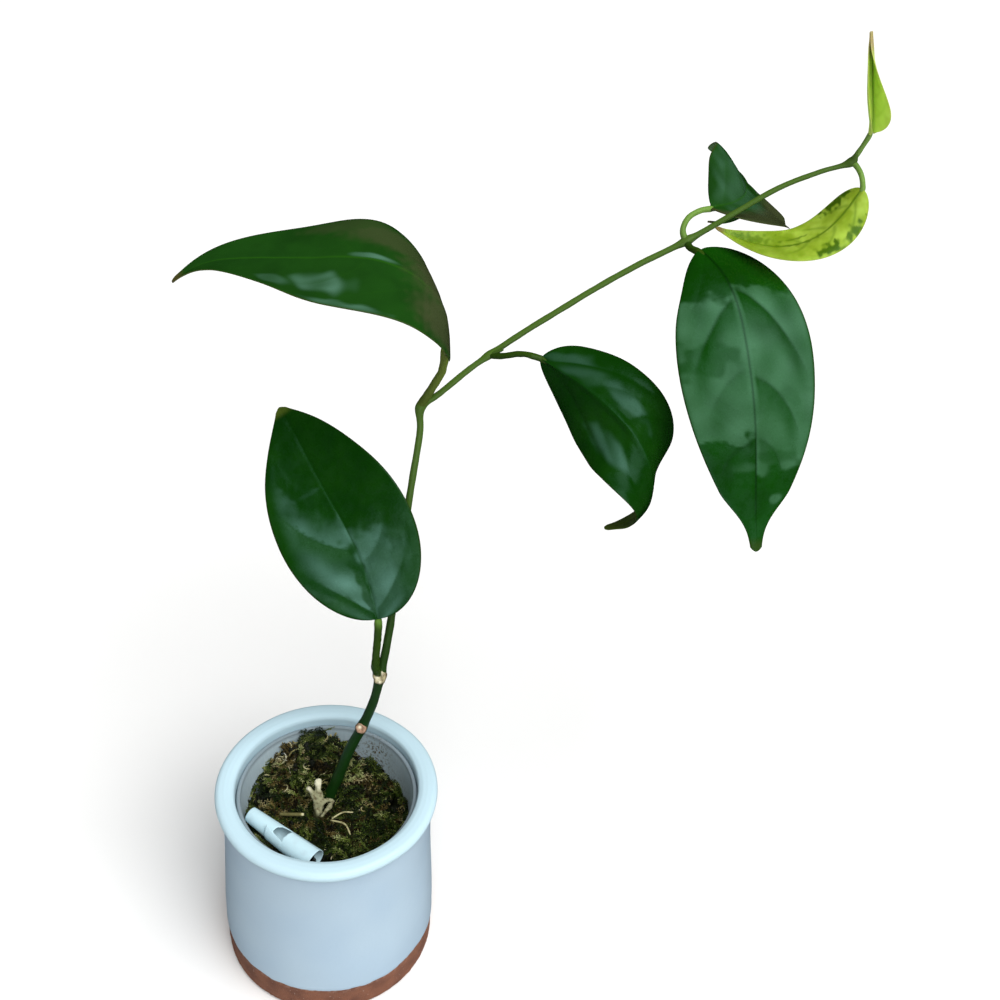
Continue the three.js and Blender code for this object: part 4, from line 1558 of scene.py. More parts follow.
@dataclass
class Stem:
    """The climbing stem, its swollen nodes, its scars and its buds.

    Attributes:
        route: Points that it passes, from its foot in the moss to its growing tip.
        radii: Heights and the stem's radius at them.
        facing: The way that the scars face.
        bud: Foot and tip of its bud.
    """

    route: Points = (
        (-7, 4.5, 54), (-0.5, 7, 82.5), (4.5, 8, 98.5), (8.5, 9, 112), (14, 10, 126.5),
        (18.5, 11, 140.5), (21.5, 12, 156.5), (23, 14, 166.5), (24.5, 17, 178), (27.5, 25, 209),
        (30.5, 32.5, 239), (33, 39.5, 263), (33, 42, 272.5), (38.5, 43.5, 276.5), (50.5, 47, 287.5),
        (57.5, 49, 293), (68.5, 51.5, 301.5), (82.5, 54.5, 311.5), (96, 58, 320.5),
        (110, 61.5, 329), (126, 65.5, 337.5), (137.5, 68, 345), (157, 72, 358),
        (170.5, 73.5, 364.5), (181, 74, 369), (181.5, 72.2, 373.4)
    )
    nodes: tuple[Node, ...] = (
        Node((14, 10, 126.5), 0.35, 2.5), Node((21.5, 12, 156.5), 0.7, 3.0),
        Node((33, 42, 272.5), 0.9, 2.4), Node((57.5, 49, 293), 0.4, 2.0),
        Node((126, 65.5, 337.5), 0.7, 2.0), Node((181, 74, 369), 0.75, 1.8)
    )
    radii: Pairs = (
        (54, 2.5), (82, 2.6), (126, 2.1), (157, 1.75), (200, 1.5), (265, 1.3), (290, 1.15),
        (337, 1.15), (350, 1.05), (369, 0.9), (374, 0.55)
    )
    scars: tuple[Scar, ...] = (
        Scar((14, 10, 126.5), 2.4, 3.3, 1.05, 0.1, ((0.2, 0.25),), "#a5836c"),
        Scar((21.5, 12, 156.5), 2.8, 3.4, 1.25, 0.3, ((-0.2, 0.5), (0.3, -0.1), (-0.1, -0.6)))
    )
    facing: Point = (-0.05, -0.82, 0.57)
    bud: tuple[Point, Point] = ((58.5, 48.7, 294), (62.8, 47.3, 296.8))

    def radius(self, path: Array) -> Array:
        """Radius along the path: its height's radius, and a bell at each node.

        Args:
            path: Places on the stem's middle line.

        Returns:
            The radius at each place.
        """
        heights, radii = zip(*self.radii)
        plain = np.interp(path[:, 2], heights, radii)
        for node in self.nodes:
            away = np.linalg.norm(path - np.array(node.at), axis=1)
            plain = plain + node.swell * bell(away, node.spread)
        return plain

    def vine(self) -> Shape:
        """The stem's bar, with shallow ridges along it and a rounded tip.

        Returns:
            The bar, with its age as a value.
        """
        stations, sides = 620, 24
        path = smooth_route(self.route, stations)
        share = shares(stations)
        cap = rounded(share, 0.004, 0.1)
        shape = bar(path, self.radius(path) * cap, sides)
        middle = np.repeat(path, sides, axis=0)
        outward = shape.points - middle
        wobble = 0.015 * ripples(shape.points * np.array([1.0, 1.0, 0.2]), 2.6, 61)
        wobble = wobble + 0.03 * ripples(shape.points, 9.0, 62)
        shape.points = middle + outward * (1.0 + wobble[:, None] / 1.5)
        shape.values["old"] = ease(middle[:, 2], 300.0, 120.0)
        return shape

    def scar(self, scar: Scar) -> None:
        """A low healed disc with a raised ring and a hollow middle.

        A polar grid whose height is a bell at the ring, less a bell at the middle.

        Args:
            scar: Its place and size.
        """
        facing = unit(np.array(self.facing))
        side = unit(np.cross(facing, [0.0, 0.0, 1.0]))
        upward = np.cross(side, facing)
        spokes = 48
        angle = around(spokes)
        share = np.linspace(0.04, 1.0, 18)
        crown = scar.proud + 0.3 * bell(share - 0.66, 0.14) - 0.14 * bell(share, 0.28)
        crown = crown - 0.8 * ease(share, 0.75, 1.0)
        lobes = 1.0 + 0.06 * np.sin(2 * angle + 1.0) + 0.05 * np.sin(5 * angle)
        radius = np.concatenate([scar.radius * share, [scar.radius * 0.95]])[:, None] * lobes
        out = np.repeat(np.concatenate([crown, [0.2]])[:, None], spokes, axis=1)
        out[:-1] += scar.lumps * ripples(polar(radius, angle), 2.2, 63)[:-1]
        shape = turned(radius, out)
        x, y, z = shape.points.T
        rise = y * scar.tall
        place = x[:, None] * side + rise[:, None] * upward + z[:, None] * facing
        shape.points = np.array(scar.at) + place
        shape = shape.outward()
        pith = sum(
            bell(np.hypot(x / scar.radius - a, y / scar.radius - b), 0.2) for a, b in scar.pith
        )
        shape.values["worn"] = np.clip(pith, 0.0, 1.0)
        shape.values["darkened"] = ease(np.hypot(x, y) / scar.radius, 0.86, 1.0)
        name = "leaf_scar_%d" % round(scar.at[2])
        finish = BarkFinish(name, scar.bark, "#6d5c46", "#ece6c8", "#54492c")
        settle(shape.piece(name, finish), [])

    def build(self) -> None:
        """Builds the stem with its bud, and the scars."""
        start, end = (np.array(p, float) for p in self.bud)
        share = shares(14)
        path = mix(start, end, share[:, None])
        width = 0.9 * (1.0 - 0.6 * share) * rounded(share, 0.2, 0.08)
        bud = bar(path, width, 12)
        bud.values["old"] = np.full(len(bud.points), 0.3)
        finish = StemFinish("green_stem", "#4a6824", "#14360e", "#3f6426")
        stem = joined([self.vine(), bud]).piece("vine_stem", finish)
        settle(stem, ["main_stem"])
        for scar in self.scars:
            self.scar(scar)


# The leaves


@dataclass(frozen=True)
class Vein:
    """A lateral vein: its half, where it leaves the midrib, where it ends and how far out."""

    side: Side
    start: float
    end: float
    reach: float
    depth: float = 1.0


@dataclass(frozen=True)
class SheenBand:
    """A band of painted sheen, a pale painted reflection, across one half, between two lines that
    run as veins do.

    Attributes:
        side: The half.
        first: Start, end and reach of the line at its lower end.
        last: The same of the line at its upper end.
        soft: Half-width of its soft edge along each line, in millimetres.
    """

    side: Side
    first: Point
    last: Point
    strength: float
    soft: Pair = (2.0, 2.0)


@dataclass(frozen=True)
class Patch:
    """A soft-edged spot on the blade: its share of the length, its share across, and its sizes."""

    along: float
    across: float
    length: float
    width: float
    strength: float = 1.0


@dataclass(frozen=True)
class Crease:
    """The section across a vein, in millimetres: a crease in a valley with one steep side.

    Attributes:
        rounding: Its rounding at the bottom.
        gentle: Run of the gentle side.
        steep: Run of the steep side.
        line: Spread of the coloured line along it.
    """

    depth: float = 0.6
    rounding: float = 0.5
    gentle: float = 5.5
    steep: float = 2.6
    line: float = 0.45

    def height(self, past: Array) -> Array:
        """Height across the vein: e to the minus distance in runs, times minus the depth."""
        away = np.hypot(past, self.rounding) - self.rounding
        return -self.depth * np.exp(-away / np.where(past < 0, self.gentle, self.steep))


CREASE = Crease()
VEIN_POWER = 1.8
# Height and width of the dents in a blade, and of the unevenness of a painted sheen band's edges
LEAF_DENTS = ((0.06, 11.0), (0.014, 4.0))
SHEEN_BAND_EDGE = ((1.1, 9.0), (0.5, 3.5))
# Where a patch ends and where it is whole, as shares of its sizes
PATCH_EDGE = (1.3, 0.55)
# Share of the thickness left at the tip, and share that the edge loses
TIP_THICKNESS = 0.75
EDGE_LOSS = 0.35
# Shares of the painted sheen lost in a vein and in its painted crease shade, and height and width
# of the sheen's drifts
SHEEN_LOST_IN_VEIN = 0.6
SHEEN_LOST_IN_CREASE_SHADE = 0.95
SHEEN_DRIFTS = ((0.18, 13.0),)
# Share of the length that rounds off the tip, and the blade's least half-width
ROUNDED_SHARE = 0.014
LEAST_HALF_WIDTH = 0.35


def rows_of(side: Side, *rows: Numbers) -> list[Vein]:
    """Veins of one half, each from its start, end and reach, and its depth if not 1."""
    return [Vein(side, *values) for values in rows]


def pairs(*rows: Point, depth: float = 1.0) -> tuple[Vein, ...]:
    """Veins in pairs, the right one a little nearer the tip than the left one.

    Args:
        rows: For each pair, its start, its end and its reach.
        depth: Depth of the veins.

    Returns:
        The veins.
    """
    left = [Vein(Side.LEFT, a, b, c, depth) for a, b, c in rows]
    right = [Vein(Side.RIGHT, a + 0.04, b + 0.03, c, depth) for a, b, c in rows]
    return tuple(left + right)


@dataclass
class Leaf:
    """A leaf: a blade on a folded and curled midrib, with its stalk.

    The midrib leaves the base with a heading (degrees from +X towards +Y), a pitch (up from
    level) and a roll, each at equally spaced stations from base to tip. Each half, left then
    right, is folded up from the midrib and curls further towards its edge. All the painted
    areas but the bands are soft patches.

    Attributes:
        node: The solid that it replaces.
        base: Where the blade starts.
        widest: Share of the length where the blade is widest.
        taper: How steeply the blade narrows to its tip.
        tip: Width of the drawn-out tip as a share of the widest.
        drip: How much narrower than its taper the blade gets just before its tip.
        stalk: Points of the stalk from the stem to the base.
        stalk_radius: First and last radius of the stalk.
        flush: Its sun-browned areas.
        mottle: Its unripe patches.
        painted_sheen: Its spots of painted sheen, a painted reflection.
        sheen_gaps: Where the painted sheen is taken away.
        shaded: 1 if each crease's steep side faces the tip, -1 if it faces the base.
        shade_run: How far the painted crease shade on that side reaches, in millimetres.
        hem: Shares across where the painted sheen has gone and where it starts to fade.
        shown: How strongly the lateral veins are coloured.
        knob: How pale the top of the stalk is.
        tip_share: Share of the length where the tip's colour starts.
        thickness: Thickness at the midrib.
        relief: Scale of the quilting between the veins.
    """

    node: str
    base: Point
    length: float
    half_width: float
    heading: Numbers
    pitch: Numbers
    roll: Numbers
    fold: tuple[Pair, Pair]
    curl: tuple[Pair, Pair]
    widest: float
    taper: float
    tip: float
    stalk: Points
    stalk_radius: Pair
    finish: LeafFinish
    stalk_finish: StemFinish
    slot: str = "grown_leaf"
    veins: tuple[Vein, ...] = ()
    flush: tuple[Patch, ...] = ()
    mottle: tuple[Patch, ...] = ()
    painted_sheen: tuple[Patch, ...] = ()
    sheen_bands: tuple[SheenBand, ...] = ()
    sheen_gaps: tuple[Patch, ...] = ()
    shaded: float = 1.0
    shade_run: float = 3.0
    hem: Pair = (1.02, 0.94)
    shown: float = 0.4
    knob: float = 0.0
    drip: float = 0.0
    tip_share: float = 0.95
    thickness: float = 1.0
    relief: float = 1.0
    seed: int = 70
    rows: int = 170
    columns: int = 40

    @cached_property
    def s(self) -> Array:
        """Shares of the length, one to a row, closer together at both ends."""
        even = shares(self.rows)
        return mix(even, 0.5 - 0.5 * np.cos(np.pi * even), 0.6)[:, None]

    @cached_property
    def t(self) -> Array:
        """Shares of the half-width, one to a column, from 1 at the left edge to -1."""
        step = np.linspace(-1.0, 1.0, 2 * self.columns + 1)
        return (-np.sign(step) * np.abs(step) ** 1.3)[None]

    @cached_property
    def half(self) -> Array:
        """Half-width of each row in millimetres, never quite 0."""
        return self.half_width * np.maximum(self.outline(self.s), 0.02)

    @cached_property
    def flat(self) -> Array:
        """The blade's points on a flat sheet, in millimetres along and across."""
        return np.stack(np.broadcast_arrays(self.s * self.length, self.t * self.half), -1)

    def outline(self, s: Array) -> Array:
        """Half-width share: a quarter ellipse to the widest, then a falling power to the tip.

        Just before the tip the power is drawn in by the drip.

        Args:
            s: Shares of the length.

        Returns:
            Shares of the greatest half-width.
        """
        rise = np.sqrt(1.0 - (1.0 - np.minimum(s / self.widest, 1.0)) ** 2)
        past = np.clip((s - self.widest) / (1.0 - self.widest), 0.0, 1.0)
        width = np.where(s < self.widest, rise, (1.0 - past**2) ** self.taper)
        width = width * (1.0 - self.drip * ease(past, 0.68, 0.93))
        drawn = np.hypot(width, self.tip * ease(past, 0.5, 0.8))
        return drawn * rounded(s, ROUNDED_SHARE, 0.0)

    def frames(self, s: Array) -> tuple[Array, Array, Array]:
        """Directions at shares of the midrib.

        Args:
            s: Shares of the length.

        Returns:
            Along the midrib, to its left, and up from its face.
        """
        turns = (self.heading, self.pitch, self.roll)
        heading, pitch, roll = (np.radians(through(turn, s)) for turn in turns)
        level = np.cos(pitch)
        along = np.stack([level * np.cos(heading), level * np.sin(heading), np.sin(pitch)], -1)
        flat = np.stack([-np.sin(heading), np.cos(heading), np.zeros_like(heading)], -1)
        upright = np.cross(along, flat)
        left = flat * np.cos(roll)[..., None] + upright * np.sin(roll)[..., None]
        return along, left, np.cross(along, left)

    def midrib(self, s: Array) -> Array:
        """Places on the midrib: its direction summed in 200 equal steps from the base.

        Args:
            s: Shares of the length.

        Returns:
            A place for each share.
        """
        steps = 200
        along, _, _ = self.frames((np.arange(steps) + 0.5) / steps)
        run = np.concatenate([np.zeros((1, 3)), np.cumsum(along, 0)]) * self.length / steps
        knots = shares(steps + 1)
        places = np.stack([np.interp(s, knots, run[:, k]) for k in range(3)], -1)
        return np.array(self.base) + places

    def surface(self) -> Array:
        """The blade's middle surface.

        From the midrib out, the slope turns evenly from fold to fold plus curl, so the way
        across and up is the chord of an arc.

        Returns:
            Points, rows by columns by 3.
        """
        _, left, up = self.frames(self.s)
        half = np.maximum(self.half_width * self.outline(self.s), LEAST_HALF_WIDTH)
        q = np.abs(self.t)
        (fold_left, fold_right), (curl_left, curl_right) = (
            [np.radians(through(turn, self.s)) for turn in turns]
            for turns in (self.fold, self.curl)
        )
        fold = np.where(self.t < 0, fold_right, fold_left)
        curl = np.where(self.t < 0, curl_right, curl_left)
        chord = half * q * np.sinc(curl * q / (2.0 * np.pi))
        slope = fold + curl * q / 2.0
        across = chord * np.cos(slope) * np.sign(self.t)
        rise = chord * np.sin(slope)
        return self.midrib(self.s) + across[..., None] * left + rise[..., None] * up

    def past(self, vein: Vein) -> tuple[Array, Array]:
        """How far each point lies past a vein, which is a power curve of the share across.

        Args:
            vein: The vein.

        Returns:
            Millimetres past the vein towards the tip, and the vein's strength there.
        """
        q = np.maximum(self.t * vein.side.value, 0.0)
        run = (vein.end - vein.start) * (q / vein.reach) ** VEIN_POWER
        along = (vein.end - vein.start) * self.length
        across = vein.reach * self.half_width
        cosine = across / math.hypot(along, across)
        past = (self.s - vein.start - run) * self.length * cosine
        strength = ease(q, 0.0, 0.12) * ease(q, vein.reach + 0.1, vein.reach - 0.25)
        return past, strength * vein.depth * (q > 0)

    def quilting(self) -> tuple[Array, Array, Array]:
        """The upper face's relief: veins in valleys, the midrib's groove and fine dents.

        A vein's crease shade, a painted shade that takes the painted sheen away, lies on the steep
        side of its valley. It falls off as e to the minus cube of the distance in runs.

        Returns:
            The height in millimetres, and from 0 to 1 how close a vein is and its painted crease
            shade.
        """
        height, close, crease_shade = np.zeros((3, self.s.size, self.t.size))
        for vein in self.veins:
            past, strength = self.past(vein)
            past = past * self.shaded
            height += strength * CREASE.height(past)
            close = np.maximum(close, strength * bell(past, CREASE.line))
            # Painted crease shade: the painted sheen is taken away on the steep side of each vein
            reach = np.maximum(past, 0.0) / self.shade_run
            fall = ease(past, -0.3, 0.5) * np.exp(-(reach**3))
            crease_shade = np.maximum(crease_shade, np.minimum(strength, 1.0) * fall)
        inside = ease(np.abs(self.t), 1.0, 0.8)
        height = (height + rough(self.flat, LEAF_DENTS, self.seed) * inside) * self.relief
        offset = np.abs(self.t) * self.half
        height -= mix(0.3, 0.1, self.s) * bell(offset, 0.7)
        rib = bell(offset, mix(0.4, 0.22, self.s)) * ease(self.s, 1.0, 0.8)
        return height, np.maximum(self.shown * close, rib), crease_shade

    def areas(self, patches: tuple[Patch, ...], ragged: float, wave: float) -> Array:
        """How much of a painted tone lies at each point: soft ellipses.

        Args:
            patches: The ellipses.
            ragged: How uneven their edges are.
            wave: Width of the unevenness in millimetres.

        Returns:
            Shares from 0 to 1.
        """
        total = np.zeros((self.s.size, self.t.size))
        uneven = ragged * ripples(self.flat, wave, self.seed + 2)
        for patch in patches:
            along = (self.s - patch.along) / patch.length
            across = (self.t - patch.across) / patch.width
            away = np.hypot(along, across) + uneven
            total = np.maximum(total, patch.strength * ease(away, *PATCH_EDGE))
        return total

    def painted_sheen_share(self, close: Array, crease_shade: Array) -> Array:
        """How strong the painted sheen is: its bands and spots, less in veins and in their painted
        crease shade.

        Args:
            close: How close a vein is.
            crease_shade: The painted shade beside the veins.

        Returns:
            Shares from 0 to 1.
        """
        ragged = rough(self.flat, SHEEN_BAND_EDGE, self.seed + 3)
        total = self.areas(self.painted_sheen, 0.12, 9.0)
        for band in self.sheen_bands:
            first, _ = self.past(Vein(band.side, *band.first))
            last, _ = self.past(Vein(band.side, *band.last))
            start, end = band.soft
            inside = ease(first + ragged, -start, start)
            inside = inside * ease(last + ragged, end, -end)
            own = (self.t > 0) == (band.side is Side.LEFT)
            total = np.maximum(total, band.strength * inside * own)
        total = total * (1.0 + rough(self.flat, SHEEN_DRIFTS, self.seed + 6))
        total = total * (1.0 - self.areas(self.sheen_gaps, 0.22, 7.0)) * (1.0 - SHEEN_LOST_IN_CREASE_SHADE * crease_shade)
        hem = ease(np.abs(self.t), *self.hem)
        return np.clip(total * (1.0 - SHEEN_LOST_IN_VEIN * close) * hem, 0.0, 1.0)

    def blade(self) -> None:
        """The blade: an upper face with its relief, and a lower face with a keel."""
        middle = self.surface()
        slopes = np.gradient(middle, axis=0), np.gradient(middle, axis=1)
        normal = unit(np.cross(slopes[1], slopes[0]))
        relief, close, crease_shade = self.quilting()
        q = np.abs(self.t)
        body = self.thickness * mix(1.0, TIP_THICKNESS, self.s) * (1.0 - EDGE_LOSS * q**2)
        edge = np.sqrt(np.clip(1.0 - q**14, 0.06, 1.0))
        half = body * edge / 2
        ridge = mix(self.stalk_radius[1] * 0.95, 0.2, self.s**0.8)
        keel = ridge * np.sqrt(np.clip(1.0 - (q * self.half / (1.5 * ridge)) ** 2, 0.0, 1.0))
        upper = middle + normal * (half + relief * edge)[..., None]
        lower = middle - normal * (half + keel * 0.9 - 0.6 * relief * edge)[..., None]
        shape = sheet(upper, lower)
        both = {
            "rib": close, "flush": self.areas(self.flush, 0.05, 4.0),
            "mottle": self.areas(self.mottle, 0.35, 3.0),
            "rim": ease((1.0 - q) * self.half, 0.5, 0.1) * 0.6,
            "tip": ease(self.s, self.tip_share, mix(self.tip_share, 1.0, 0.65))
        }
        shape.values = {
            key: np.tile(np.broadcast_to(value, close.shape).ravel(), 2)
            for key, value in both.items()
        }
        # Painted sheen: a pale painted reflection, on the upper face only
        pale = self.painted_sheen_share(close, crease_shade).ravel()
        shape.values["painted_sheen"] = np.concatenate([pale, np.zeros(pale.size)])
        shape.values["under"] = np.repeat([0.0, 1.0], pale.size)
        blade = shape.piece(self.node + "_blade", self.finish)
        settle(blade, [self.node])

    def stalk_bar(self) -> None:
        """The stalk: a bar from inside the stem to under the blade, swollen at both ends."""
        ends = np.array([0.0, 0.025, 0.05])
        _, _, up = self.frames(ends)
        under = self.midrib(ends) - np.array([[0.8], [1.1], [1.3]]) * self.stalk_radius[1] * up
        route = [*self.stalk, *map(tuple, under)]
        stations, sides = 72, 20
        path = smooth_route(route, stations)
        share = shares(stations)
        radius = mix(self.stalk_radius[0], self.stalk_radius[1], share)
        radius = radius * (1.0 + 0.14 * bell(share, 0.1) + 0.1 * bell(share - 0.8, 0.08))
        radius = radius * rounded(share, 0.18, 0.05)
        shape = bar(path, radius, sides)
        middle = np.repeat(path, sides, axis=0)
        wobble = 0.03 * ripples(shape.points, 3.0, self.seed + 5)
        shape.points = middle + (shape.points - middle) * (1.0 + wobble[:, None])
        shape.values["old"] = np.repeat(ease(share, 0.6, 0.0), sides) * 0.6
        shape.values["pale"] = np.repeat(bell(share - 0.86, 0.05), sides) * self.knob
        stalk = shape.piece(self.node + "_stalk", self.stalk_finish)
        settle(stalk, [self.node])

    def build(self) -> None:
        """Builds the blade and the stalk."""
        self.blade()
        self.stalk_bar()


# Each finish's pale sheen colour is a painted reflection
DARK_WAX = LeafFinish(
    name="dark_waxy_leaf", face="#093203", deep="#103a06", vein="#0d3708", underside="#48601e",
    painted_sheen="#5a8578", margin="#26330f", tip="#4a5c1a"
)
MID_WAX = LeafFinish(
    name="mid_green_waxy_leaf", face="#0c3f03", deep="#0a3702", vein="#062a02", underside="#4a6a30",
    painted_sheen="#5c8f6c", margin="#2c4416", tip="#26400c"
)
BROWNED_WAX = LeafFinish(
    name="browned_waxy_leaf", face="#1a4411", deep="#163c0f", vein="#21500f", underside="#4a6a40",
    flush="#3d4629", painted_sheen="#628f7a", margin="#45491f", tip="#4c4a24", gloss=0.12
)
LIME_SKIN = LeafFinish(
    name="lime_young_leaf", face="#a8c246", deep="#86a024", vein="#5c7c12", underside="#a2b84c",
    flush="#5f7e08", mottle="#3d6000", margin="#9a9a4a", tip="#7a6a38",
    drift=Grain(6.0, 2.0, 0.3, 0.7), roughness=0.38, glow=0.3
)
BRIGHT_SKIN = LeafFinish(
    name="bright_youngest_leaf", face="#c8e266", deep="#b8d452", vein="#86ac34",
    underside="#b8d060", margin="#b0b25c", tip="#a89a68", drift=Grain(6.0, 2.0, 0.35, 0.7),
    roughness=0.38, glow=0.3
)
OLIVE_STALK = StemFinish("olive_stalk", "#2b4709", "#1d3808", "#3f5e18", "#5d8530")
BROWNED_STALK = StemFinish("browned_stalk", "#5a6c22", "#3b4c12", "#737f34")
PALE_STALK = StemFinish("pale_stalk", "#6f9440", "#54762c", "#86a85c")
